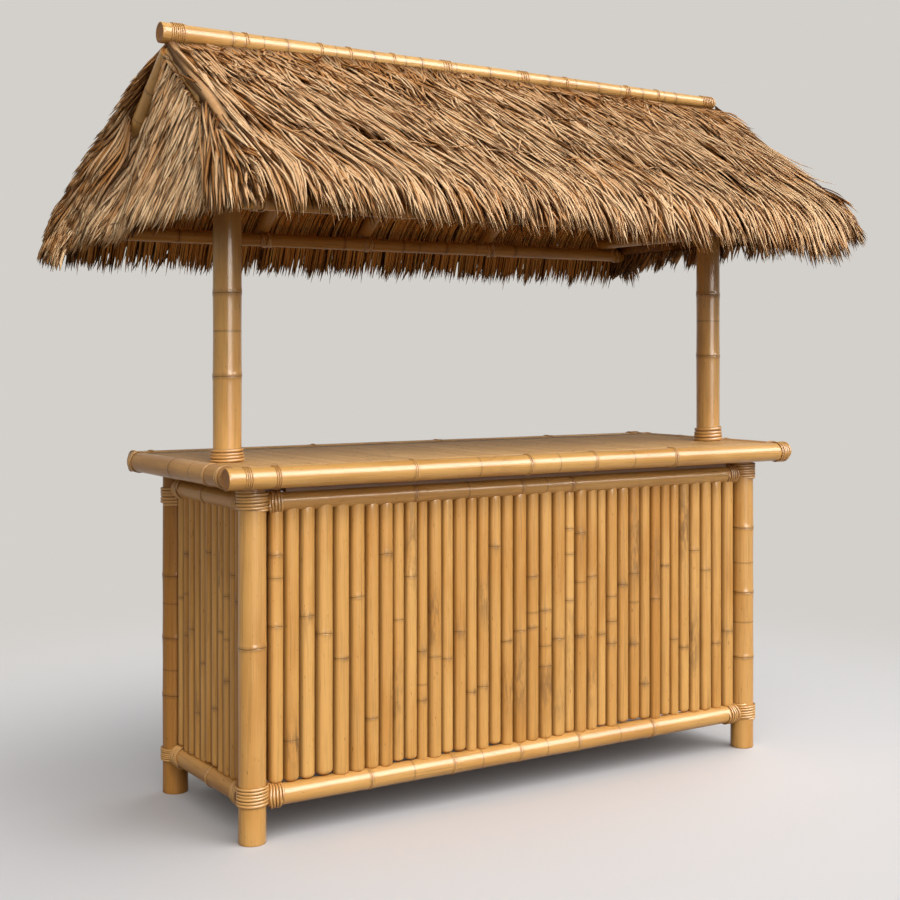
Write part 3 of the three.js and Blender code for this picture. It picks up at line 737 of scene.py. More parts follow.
@dataclass
class Winding:
    """Rattan strand wound round a pole.

    The strand's middle line is a helix: it climbs by one pitch in each turn, at the pole's radius plus
    half the strand's thickness, and sinks into the pole over the last part of a turn at both ends.
    """

    centre: Array
    way: Array
    radius: float
    turns: float
    pitch: float
    thickness: float
    width_share: float = 0.97
    seed: int = 0
    cope: float = 0.0
    cope_across: Array | None = None
    cope_end: int = 0
    flare: float = 0.0
    sides: int = 8
    steps: int = 40
    sink: float = 0.6
    dive_turns: float = 0.12
    waver: float = 0.05
    bulge: float = 0.8

    def skin(self, skin: Skin) -> None:
        """Adds the winding to a mesh.

        Args:
            skin: The mesh under construction.
        """
        way = unit(self.way)
        first = unit(np.cross(way, UP if abs(way[2]) < 0.9 else BACK))
        second = np.cross(way, first)
        rng = np.random.default_rng(self.seed + 911)
        turn = np.linspace(0.0, self.turns, int(self.turns * self.steps) + 1)
        angle = turn * TAU + rng.uniform(0, TAU)
        rise = (turn - self.turns / 2.0) * self.pitch
        waver = self.waver * self.pitch * np.sin(angle * 0.37 + rng.uniform(0, 6.0))
        ends = np.minimum(turn, self.turns - turn)
        dive = self.thickness * self.sink * 2.0 * (1.0 - smooth_step(ends, 0.0, self.dive_turns))
        run = self.radius + self.thickness / 2.0 - dive + self.flare * (1.0 - turn / self.turns)
        run = run + self.waver * self.thickness * np.sin(angle * 1.7)
        radial = np.cos(angle)[:, None] * first + np.sin(angle)[:, None] * second
        middle = self.centre + radial * run[:, None] + way * (rise + waver)[:, None]
        if self.cope_across is not None:
            sideways = (radial * run[:, None]) @ self.cope_across
            shift = self.cope - np.sqrt(np.maximum(self.cope**2 - sideways**2, 0.0))
            reach = 1.0 - np.clip((0.5 - self.cope_end * rise / (self.turns * self.pitch)), 0.0, 1.0) * 0.75
            middle = middle + way * (self.cope_end * shift * reach)[:, None]
        corner = np.arange(self.sides) / self.sides * TAU
        across, out = np.cos(corner), np.sin(corner)
        wide = np.sign(across) * np.abs(across) ** self.bulge * (self.pitch * self.width_share / 2.0)
        thick = np.sign(out) * np.abs(out) ** self.bulge * self.thickness / 2.0
        grid = middle[:, None] - way * wide[None, :, None] + radial[:, None] * thick[None, :, None]
        length = (turn * TAU * self.radius)[:, None]
        strand = np.stack(np.broadcast_arrays(across, corner, length + self.seed * 3.7), axis=-1)
        tone = np.full(grid.shape[:2], rng.uniform(0.1, 0.7))
        skin.add_tubes(grid[None], strand=strand, tone=tone)


# Sub-assemblies


def make(name: str, finish: Material, slot: Slot, parts: list[Culm | Winding], *nodes: str) -> None:
    """Makes one piece of culms or windings.

    Args:
        name: The piece's name.
        finish: Its material.
        slot: Slot of its finish, handed on to Skin.build.
        parts: The culms or windings.
        *nodes: Nodes that it replaces.
    """
    skin = Skin()
    for part in parts:
        part.skin(skin)
    skin.build(name, finish, slot, *nodes)


def culm_of(node: str, axis: Array, radius: float, joints: tuple, seed: int, tone: float = 0.3) -> Culm:
    """Culm that runs from end to end of a straight node.

    Args:
        node: Name of the node.
        axis: Direction along which it runs.
        radius: The culm's radius.
        joints: Places of the growth joints along that direction, in the hut's frame.
        seed: Seed of its small irregularities.
        tone: Its tone.

    Returns:
        The culm.
    """
    low, high = box(node)
    middle = (low + high) / 2.0
    half = float((high - low) @ axis) / 2.0
    first = float(middle @ axis) - half
    places = tuple(place - first for place in joints)
    return Culm(middle - axis * half, middle + axis * half, radius, places, seed, tone=tone)


@dataclass
class BarFrame:
    """Corner posts and rails, with their lashings.

    A post is given by its place, its joints and the heights between which its top and bottom lashing
    lie; a rail by its level, its side and its joints.
    """

    pole: Material
    matt_shaded: Material
    rattan: Material
    post_x: float = 0.95
    post_y: float = 0.29
    post_radius: float = 0.0405
    lashed: float = 0.0492
    lashing_turns: float = 6.0
    lashing_radius: float = 0.0408
    lashing_thickness: float = 0.0066
    end_inset: float = 0.0205
    end_wrap: tuple = (4.6, 0.0082, 0.0052)
    joint_ring: tuple = (2.1, 0.0042, 0.0022, 0.8)
    top_rail: tuple = (0.969, 0.029)
    bottom_rail: tuple = (0.125, 0.032)
    posts: tuple = (
        ("front_left", (0.559,), (0.949, 1.005), (0.110, 0.166)),
        ("front_right", (0.321, 0.550, 0.778), (0.956, 1.010), (0.103, 0.156)),
        ("rear_left", (0.312, 0.494, 0.691), (0.915, 0.976), (0.103, 0.143)),
        ("rear_right", (0.27, 0.52, 0.80), (0.945, 1.003), (0.105, 0.158)),
    )
    rails: tuple = (
        ("top", "front", (-0.418, -0.02, 0.179)),
        ("top", "rear", (-0.52, -0.1, 0.43)),
        ("bottom", "front", (-0.575, -0.281, -0.030, 0.203, 0.518)),
        ("bottom", "rear", (-0.61, -0.22, 0.14, 0.55)),
        ("top", "left", (0.02,)),
        ("top", "right", (-0.05,)),
        ("bottom", "left", (-0.03,)),
        ("bottom", "right", (0.06,)),
    )

    def build(self) -> None:
        """Makes the posts and the rails."""
        for index, post in enumerate(self.posts):
            self.post(*post, seed=1 + 3 * index)
        for index, rail in enumerate(self.rails):
            self.rail(*rail, seed=13 + 9 * index)

    def post(self, place: str, joints: tuple, top: tuple, bottom: tuple, seed: int) -> None:
        """Makes a corner post and its two lashings; the rear left post stands in shade, so it is painted darker as
        shade and takes the matt copy.

        Args:
            place: The post's place.
            joints: Heights of its joints.
            top: Heights between which its upper lashing lies.
            bottom: Heights between which its lower lashing lies.
            seed: Seed of its irregularities.
        """
        node, shaded = f"corner_post_{place}", place == "rear_left"
        # Painted shade: the rear left post gets a dark tone.
        culm = culm_of(node, UP, self.post_radius, joints, seed, 0.85 if shaded else 0.3)
        make(f"post_{place}", self.matt_shaded if shaded else self.pole, Slot.POLE, [culm], node)
        x = self.post_x * (1.0 if "right" in place else -1.0)
        y = self.post_y * (1.0 if "rear" in place else -1.0)
        for number, (level, (low, high)) in enumerate((("top", top), ("bottom", bottom)), seed + 1):
            centre, pitch = np.array([x, y, (low + high) / 2.0]), (high - low) / self.lashing_turns
            lashing = Winding(
                centre, UP, self.lashing_radius, self.lashing_turns, pitch, self.lashing_thickness, seed=number
            )
            make(f"binding_{level}_{place}", self.rattan, Slot.RATTAN, [lashing], f"lashing_{level}_{place}")

    def rail(self, level: str, side: str, joints: tuple, seed: int) -> None:
        """Makes a rail, coped to its posts, with its bound ends and the rings on its joints.

        Args:
            level: Top or bottom.
            side: The rail's side.
            joints: Places of its joints.
            seed: Seed of its irregularities.
        """
        runs_along = side in ("front", "rear")
        axis, across = (ALONG, BACK) if runs_along else (BACK, ALONG)
        height, radius = self.top_rail if level == "top" else self.bottom_rail
        out, reach = (self.post_y, self.post_x) if runs_along else (self.post_x, self.post_y)
        half = reach - self.lashed
        centre = across * (out if side in ("rear", "right") else -out) + UP * height
        places = tuple(joint + half for joint in joints)
        fit = {"cope": self.lashed, "cope_across": across}
        culm = Culm(
            centre - axis * half, centre + axis * half, radius, places, seed, (Cut.COPED, Cut.COPED), tone=0.2, **fit
        )
        name = f"{level}_{side}"
        # The side rails take the matt copy, whose darker colours are painted shade.
        make(f"rail_{name}", self.pole if runs_along else self.matt_shaded, Slot.POLE, [culm], f"{level}_rail_{side}")
        wraps = [
            Winding(
                centre + axis * end * (half - self.end_inset), axis, radius, *self.end_wrap, seed=seed + end,
                cope_end=end, **fit,
            )
            for end in (-1, 1)
        ]
        wraps += [
            Winding(centre + axis * joint, axis, radius + 0.0004, *self.joint_ring, number, steps=44)
            for number, joint in enumerate(joints, seed + 5)
        ]
        make(f"rail_wraps_{name}", self.rattan, Slot.RATTAN, wraps)


@dataclass
class CaneWalls:
    """Upright canes between the rails, each of its own width, with a board behind them."""

    cane: Material
    board: Material
    foot: float = 0.149
    head: float = 0.962
    board_face: float = 0.025
    board_thickness: float = 0.009
    front_half: float = 0.9005
    side_half: float = 0.2405
    front_widths: tuple = (
        48, 51, 51, 59, 55, 53, 49, 49, 40, 46, 39, 49, 43, 48, 41, 45, 46, 47, 52,
        49, 52, 53, 40, 50, 45, 38, 47, 48, 48, 46, 47, 43, 41, 46, 49, 52, 49, 55,
    )
    side_widths: tuple = (45, 43, 47, 44, 42, 46, 45, 43, 44, 42, 46)

    def build(self) -> None:
        """Makes the three walls; the left one stands in the shade, so its canes are painted a little darker as shade.
        """
        self.wall("front", self.front_half, self.front_widths, -0.29 * BACK, ALONG, -BACK, 0.35, 400)
        # Painted shade: the left wall's canes get a darker mean tone.
        self.wall("left", self.side_half, self.side_widths, -0.95 * ALONG, -BACK, -ALONG, 0.5, 500)
        self.wall("right", self.side_half, self.side_widths[::-1], 0.95 * ALONG, BACK, ALONG, 0.35, 600)

    def wall(
        self, side: str, half: float, widths: tuple, middle: Array, run: Array, outward: Array, tone: float, seed: int
    ) -> None:
        """Makes one wall of canes and its board.

        Args:
            side: Name of the side.
            half: Half of the wall's length.
            widths: Relative widths of the canes.
            middle: Point on the rails' axis in the middle of the wall, on the floor.
            run: Direction along the wall.
            outward: Direction out of the bar.
            tone: Mean tone of the canes.
            seed: Seed of its irregularities.
        """
        rng = np.random.default_rng(seed)
        width = np.asarray(widths, float)
        width = width / width.sum() * half * 2.0
        edge = np.concatenate([[0.0], np.cumsum(width)]) - half
        canes = []
        for index, radius in enumerate(width / 2.0 - 0.0002):
            depth = 0.5 * (radius + 0.021)
            centre = middle + run * (edge[index] + edge[index + 1]) / 2.0 + outward * (depth - self.board_face)
            joints = np.sort(rng.uniform(0.12, 0.68, rng.integers(1, 3)))
            joints = joints[np.concatenate([[True], np.diff(joints) > 0.12])]
            stains = [
                (joint, rng.uniform(0.0, 0.7), rng.uniform(0.006, 0.03), rng.normal(0, 0.8)) for joint in joints
            ]
            if rng.random() < 0.3:
                patch = (rng.uniform(0.1, 0.7), rng.uniform(0.5, 0.9), rng.uniform(0.05, 0.14), rng.normal(0, 0.7))
                stains.append(patch)
            lift = rng.normal(0, 0.0012, 2)
            cane = Culm(
                centre + UP * (self.foot + lift[0]), centre + UP * (self.head + lift[1]), radius, tuple(joints),
                seed + index + 1, (Cut.ROUNDED, Cut.FLAT), depth_share=depth / radius, depth_way=outward,
                stains=tuple(stains), tone=float(np.clip(rng.normal(tone, 0.13), 0, 1)),
                sides=24, step=0.09, swell=0.03,
            )
            canes.append(cane)
        node = f"cane_wall_{side}"
        make(f"canes_{side}", self.cane, Slot.CANE, canes, node)
        low, high = box(node)
        towards = int(np.abs(outward).argmax())
        if outward[towards] < 0:
            low[towards] = high[towards] - self.board_thickness
        else:
            high[towards] = low[towards] + self.board_thickness
        board = Skin()
        board.add_slab(low, high, 0.0012)
        board.build(f"cane_board_{side}", self.board, Slot.BOARD, node, smooth=False)


@dataclass
class Counter:
    """Slatted deck with its round edge poles. A ring is given by its place and its number of turns."""

    pole: Material
    matt_shaded: Material
    slat: Material
    rattan: Material
    height: float = 1.05
    radius: float = 0.0315
    face_y: float = 0.4015
    side_x: float = 1.051
    end_x: float = 1.0825
    dome: float = 0.012
    seat: float = 0.0004
    deck_top: float = 1.0745
    deck_half_length: float = 1.0312
    deck_half_depth: float = 0.3817
    slat_pitch: float = 0.0196
    slat_gap: float = 0.001
    crown: float = 0.0014
    end_wrap: tuple = (5.0, 0.0088, 0.0040)
    edge_stains: tuple = ((0.66, 0.8, 0.05, -1.9), (0.9, 0.5, 0.04, 0.6))
    front_rings: tuple = ((-1.02, 4), (-0.93, 3), (-0.485, 2), (-0.068, 2), (0.187, 2), (0.523, 3))
    rear_rings: tuple = ((-0.99, 3), (-0.4, 2), (0.1, 2), (0.6, 2))

    def build(self) -> None:
        """Makes the edge poles, their rings and the slats."""
        front_end = Winding(self.at(1.022, -self.face_y), ALONG, self.radius, *self.end_wrap, seed=99)
        self.long_edge(Face.FRONT, self.front_rings, Cut.FLAT, 71, [front_end])
        rear_ends = [
            Winding(self.at(1.022, self.face_y), ALONG, self.radius, *self.end_wrap, seed=99),
            Winding(self.at(-1.05, self.face_y), ALONG, self.radius, 1.1, 0.012, 0.003, seed=98),
        ]
        self.long_edge(Face.REAR, self.rear_rings, Cut.ROUNDED, 72, rear_ends)
        self.short_edge(Side.LEFT, (-0.24, 0.02), 75)
        self.short_edge(Side.RIGHT, (-0.1, 0.15), 76)
        self.slats()

    def at(self, x: float, y: float) -> Array:
        """Point at the height of the edge poles' axes."""
        return np.array([x, y, self.height])

    def long_edge(self, face: Face, rings: tuple, left: Cut, seed: int, ends: list[Winding]) -> None:
        """Makes an edge pole that runs along the counter.

        Args:
            face: The edge's side.
            rings: Its rings; a joint lies under each from the third on.
            left: How its left end is cut.
            seed: Seed of its irregularities.
            ends: Windings at its ends.
        """
        y = face.value * self.face_y
        culm = Culm(
            self.at(-self.end_x + (0.0 if left is Cut.FLAT else self.dome), y), self.at(self.end_x - self.dome, y),
            self.radius, tuple(x + self.end_x for x, _ in rings[2:]), seed, (left, Cut.ROUNDED), tone=0.15,
            stains=self.edge_stains,
        )
        make(f"edge_{face.label}", self.pole, Slot.POLE, [culm], f"counter_pole_{face.label}")
        wraps = [
            Winding(self.at(x, y), ALONG, self.radius + 0.0002, turns + 0.1, 0.0062, 0.0024, 0.62, number, steps=44)
            for number, (x, turns) in enumerate(rings, 80)
        ]
        make(f"edge_rings_{face.label}", self.rattan, Slot.RATTAN, wraps + ends)

    def short_edge(self, side: Side, joints: tuple, seed: int) -> None:
        """Makes an edge pole that runs across the counter, coped to the long ones.

        Args:
            side: The edge's side.
            joints: Places of its joints.
            seed: Seed of its irregularities.
        """
        x, half = side.value * self.side_x, self.face_y - self.radius - self.seat
        culm = Culm(
            self.at(x, -half), self.at(x, half), self.radius, tuple(y + half for y in joints), seed,
            (Cut.COPED, Cut.COPED), cope=self.radius + self.seat, cope_across=UP, tone=0.25,
        )
        # The short edges take the matt copy, whose darker colours are painted shade.
        make(f"edge_{side.label}", self.matt_shaded, Slot.POLE, [culm], f"counter_pole_{side.label}")
        wraps = [
            Winding(self.at(x, y), BACK, self.radius + 0.0002, turns, pitch, 0.0024, 0.66, 90 + int(turns), steps=44)
            for y, turns, pitch in ((-0.335, 3.1, 0.0075), (0.345, 3.1, 0.0075), (joints[0], 2.1, 0.006))
        ]
        make(f"edge_rings_{side.label}", self.rattan, Slot.RATTAN, wraps)

    def slats(self) -> None:
        """Makes the deck: a crowned split strip every pitch, from front to rear, on the board.

        The crown of a strip is a flat arch: its height falls with the fourth power of the distance
        from the strip's middle.
        """
        count = int(round(self.deck_half_length * 2.0 / self.slat_pitch))
        pitch = self.deck_half_length * 2.0 / count
        centre = (-self.deck_half_length + (np.arange(count) + 0.5) * pitch)[:, None, None]
        across = np.array([1.0, 0.9, 0.6, 0.2, -0.2, -0.6, -0.9, -1.0, -1.0, 1.0])
        crown = np.array([*(1.0 - np.abs(across[:8]) ** 4), -2.2, -2.2])
        rng = np.random.default_rng(17)
        front = -self.deck_half_depth + rng.uniform(0, 0.002, (count, 1))
        rear = self.deck_half_depth - rng.uniform(0, 0.002, (count, 1))
        along = (front + (rear - front) * np.linspace(0.0, 1.0, 9))[..., None]
        level = rng.uniform(-0.0004, 0.0004, (count, 1, 1))
        x = centre + across * (pitch - self.slat_gap) / 2.0
        z = self.deck_top + 0.0006 + level + self.crown * crown
        grid = np.stack(np.broadcast_arrays(x, along, z), axis=-1)[:, :, ::-1]
        culm = np.stack(np.broadcast_arrays(across * 0.01, crown * 0.004, along + centre * 90.0), axis=-1)
        away = np.clip(along - rng.uniform(-0.35, 0.35, (count, 1, 1)), -0.06, 0.06)
        tone, plain = rng.uniform(0.1, 0.75, (count, 1, 1)), np.zeros(1)
        # The side share across a slat is what the finish darkens as painted shade at its edges.
        values = {"ring": away, "tone": tone, "stain": plain, "cut": plain, "flank": np.abs(across)}
        spread = {name: np.broadcast_to(value, grid.shape[:3]) for name, value in values.items()}
        skin = Skin()
        skin.add_tubes(grid, culm=culm[:, :, ::-1], **spread)
        skin.build("deck_slats", self.slat, Slot.SLAT)


@dataclass
class RoofFrame:
    """Roof posts, purlins, tie beams, rafters and the ridge pole."""

    pole: Material
    # Darker copy of the bamboo for the purlins and tie beams; its darker colours are painted shade for their place
    # under the leaf.
    dark: Material
    rattan: Material
    mast_x: float = 0.95
    mast_y: float = -0.115
    mast_foot: float = 1.0748
    mast_head: float = 1.9008
    mast_radius: float = 0.0425
    purlin_y: float = 0.6
    purlin_z: float = 1.797
    purlin_radius: float = 0.0235
    tie_radius: float = 0.0200
    rafter_span: tuple = (0.012, 0.826)
    rafter_axis: float = -0.022
    rafter_joints: tuple = (0.16, 0.35, 0.58)
    rear_radius: float = 0.0255
    front_radius: float = 0.0245
    verge_radius: float = 0.0215
    rear_spread: float = 1.007
    ridge_joints: tuple = (-0.893, -0.708, -0.40, -0.22, 0.05, 0.30, 0.517, 0.72, 0.88)
    ridge_radii: tuple = (0.0318, 0.0210)
    ridge_rings: tuple = (
        (7.0, 0.0066, 0.0028, (-1.064,)),
        (7.0, 0.0082, 0.0028, (1.041,)),
        (2.1, 0.0074, 0.0024, (-0.847, -0.59, -0.486, -0.327, 0.379, 0.796)),
        (3.1, 0.0084, 0.0024, (0.655,)),
        (4.1, 0.0098, 0.0024, (-0.119, 0.194)),
    )

    def build(self) -> None:
        """Makes every pole of the roof and its bindings."""
        self.mast(Side.LEFT, (1.329, 1.575), 1.114, 31)
        self.mast(Side.RIGHT, (1.386, 1.609), 1.126, 32)
        self.purlin(Face.FRONT, (-0.84, -0.2, 0.07, 0.56), 41)
        self.purlin(Face.REAR, (-0.84, -0.2, 0.05, 0.24, 0.56), 42)
        for seed, side in enumerate(Side, 43):
            node = f"tie_beam_{side.label}"
            culm = culm_of(node, BACK, self.tie_radius, (-0.18, 0.25), seed)
            make(f"tie_{side.label}", self.dark, Slot.ROOF_POLE, [culm], node)
        self.rafters()
        self.ridge()

    def mast(self, side: Side, joints: tuple, collar: float, seed: int) -> None:
        """Makes a roof post and the collar at its foot.

        Args:
            side: The post's side.
            joints: Heights of its joints.
            collar: Height of the collar's upper edge.
            seed: Seed of its irregularities.
        """
        x, foot, turns = side.value * self.mast_x, self.mast_foot, 4.2
        culm = Culm(
            np.array([x, self.mast_y, foot]), np.array([x, self.mast_y, self.mast_head]), self.mast_radius,
            tuple(z - foot for z in joints), seed, tone=0.12, swell=0.05,
        )
        make(f"mast_{side.label}", self.pole, Slot.POLE, [culm], f"roof_post_{side.label}")
        height = collar - foot
        centre = np.array([x, self.mast_y, foot + height / 2.0])
        wrap = Winding(centre, UP, self.mast_radius, turns, height / turns, 0.0058, seed=33, flare=0.004)
        make(f"collar_{side.label}", self.rattan, Slot.RATTAN, [wrap], f"post_collar_{side.label}")

    def purlin(self, face: Face, joints: tuple, seed: int) -> None:
        """Makes a purlin, which ends a little inside its node, under the leaf.

        Args:
            face: The purlin's side.
            joints: Places of its joints.
            seed: Seed of its irregularities.
        """
        node = f"purlin_{face.label}"
        culm = culm_of(node, ALONG, self.purlin_radius, joints, seed)
        culm.start, culm.end = culm.start + ALONG * 0.02, culm.end - ALONG * 0.04
        make(f"eave_pole_{face.label}", self.dark, Slot.ROOF_POLE, [culm], node)

    def slope_point(self, face: Face, x: float, down: float, out: float) -> Array:
        """Point over a slope.

        Args:
            face: The slope.
            x: Place along the roof.
            down: Distance from the peak down the slope.
            out: Height over the rafters' backs.

        Returns:
            The point.
        """
        sine, cosine = math.sin(PITCH), math.cos(PITCH)
        return np.array([x, face.value * (down * cosine + out * sine), PEAK - down * sine + out * cosine])

    def rafters(self) -> None:
        """Makes the rafters and the rattan that ties each to its purlin."""
        wraps = []
        for face in Face:
            way = unit(self.slope_point(face, 0.0, 1.0, 0.0) - self.slope_point(face, 0.0, 0.0, 0.0))
            for index in range(5):
                name = f"{face.label}_{index + 1}"
                low, high = box(f"rafter_{name}")
                x = float(low[0] + high[0]) / 2.0 * (self.rear_spread if face is Face.REAR else 1.0)
                outer = abs(x) > 1.0
                radius = self.verge_radius if outer else self.front_radius
                radius = self.rear_radius if face is Face.REAR else radius
                ends = (self.slope_point(face, x, down, self.rafter_axis) for down in self.rafter_span)
                seed = 50 + index + 5 * (face.value + 1)
                culm = Culm(*ends, radius, self.rafter_joints, seed, tone=0.25 if outer else 0.4)
                make(f"spar_{name}", self.pole, Slot.ROOF_POLE, [culm], f"rafter_{name}")
                centre = np.array([x, face.value * self.purlin_y, self.purlin_z])
                for turn, (shift, slant) in enumerate(((-0.012, -0.35), (0.0, 0.35), (0.012, -0.35))):
                    loop, number = unit(ALONG + way * slant), 120 + index + turn
                    middle = centre + ALONG * shift
                    tie = Winding(middle, loop, self.purlin_radius, 1.6, 0.007, 0.0045, seed=number, steps=30)
                    wraps.append(tie)
        make("rafter_ties", self.rattan, Slot.RATTAN, wraps)

    def ridge(self) -> None:
        """Makes the ridge pole with its bound ends and rings."""
        low, high = box("ridge_pole")
        left = np.array([low[0] - 0.016, 0.0, PEAK + 0.0308])
        right = np.array([high[0] - 0.004, 0.0, PEAK + 0.0213])
        thick, thin = self.ridge_radii
        joints = tuple(x - left[0] for x in self.ridge_joints)
        culm = Culm(left, right, thick, joints, 61, (Cut.FLAT, Cut.ROUNDED), tip_radius=thin, tone=0.0, swell=0.03)
        make("ridge_culm", self.pole, Slot.POLE, [culm], "ridge_pole")
        wraps = []
        for turns, pitch, thickness, places in self.ridge_rings:
            for x in places:
                share = (x - left[0]) / (right[0] - left[0])
                centre, radius = left + (right - left) * share, thick + (thin - thick) * share
                wraps.append(Winding(centre, right - left, radius, turns, pitch, thickness, 0.62, 200 + len(wraps)))
        make("ridge_bindings", self.rattan, Slot.RATTAN, wraps)


# Edges of the leaf on each slope: distances down the slope, and how far along X the leaf reaches there.
RAKES = {
    (Face.FRONT, Side.LEFT): ((0.0, 1.0), (1.075, 1.120)),
    (Face.FRONT, Side.RIGHT): ((0.0, 0.12, 0.8, 1.0), (1.055, 1.095, 1.110, 1.100)),
    (Face.REAR, Side.LEFT): (
        (0.0, 0.09, 0.14, 0.25, 0.40, 0.50, 0.72, 0.81, 0.92),
        (1.090, 1.100, 1.108, 1.128, 1.148, 1.176, 1.200, 1.218, 1.246),
    ),
    (Face.REAR, Side.RIGHT): ((0.0, 0.30, 0.60, 0.95), (1.085, 1.100, 1.125, 1.160)),
}
# Lower ends of the fringe: places along X, and how far down the slope the longest tips reach there.
TAILS = {
    Face.FRONT: (
        (-1.12, -1.04, -0.87, -0.70, 0.0, 0.8, 0.94, 1.03, 1.1),
        (0.865, 0.905, 0.90, 0.91, 0.93, 0.96, 0.97, 0.94, 0.88),
    ),
    Face.REAR: ((-1.2, 1.2), (0.975, 0.975)),
}


@dataclass
class Draws:
    """Source of random columns of one length."""

    rng: np.random.Generator
    count: int

    def even(self, low: float, high: float) -> Array:
        """Values spread evenly over a range."""
        return self.rng.uniform(low, high, (self.count, 1))

    def bell(self, spread: float, middle: float = 0.0) -> Array:
        """Values spread as a bell round a middle."""
        return self.rng.normal(middle, spread, (self.count, 1))

    def turn(self) -> Array:
        """Angles over about a full turn."""
        return self.even(0.0, 6.28)

    def chance(self, share: float) -> Array:
        """True for about a share of the places."""
        return self.rng.random((self.count, 1)) < share

    def curls(self, low: float = 0.2, high: float = 0.4, twist: float = 0.35) -> tuple[Array, Array]:
        """Folds and twists of blades."""
        return self.even(low, high), self.bell(twist)


def facing(path: Array, x: Array | float, y: Array, z: Array) -> Array:
    """One direction of length one for each blade of a path, the same all along it."""
    return np.broadcast_to(unit(np.stack(np.broadcast_arrays(x, y, z), axis=-1)), path.shape)


def column(*parts: Array | list) -> Array:
    """Parts joined end to end, as a column."""
    return np.concatenate(parts)[:, None]


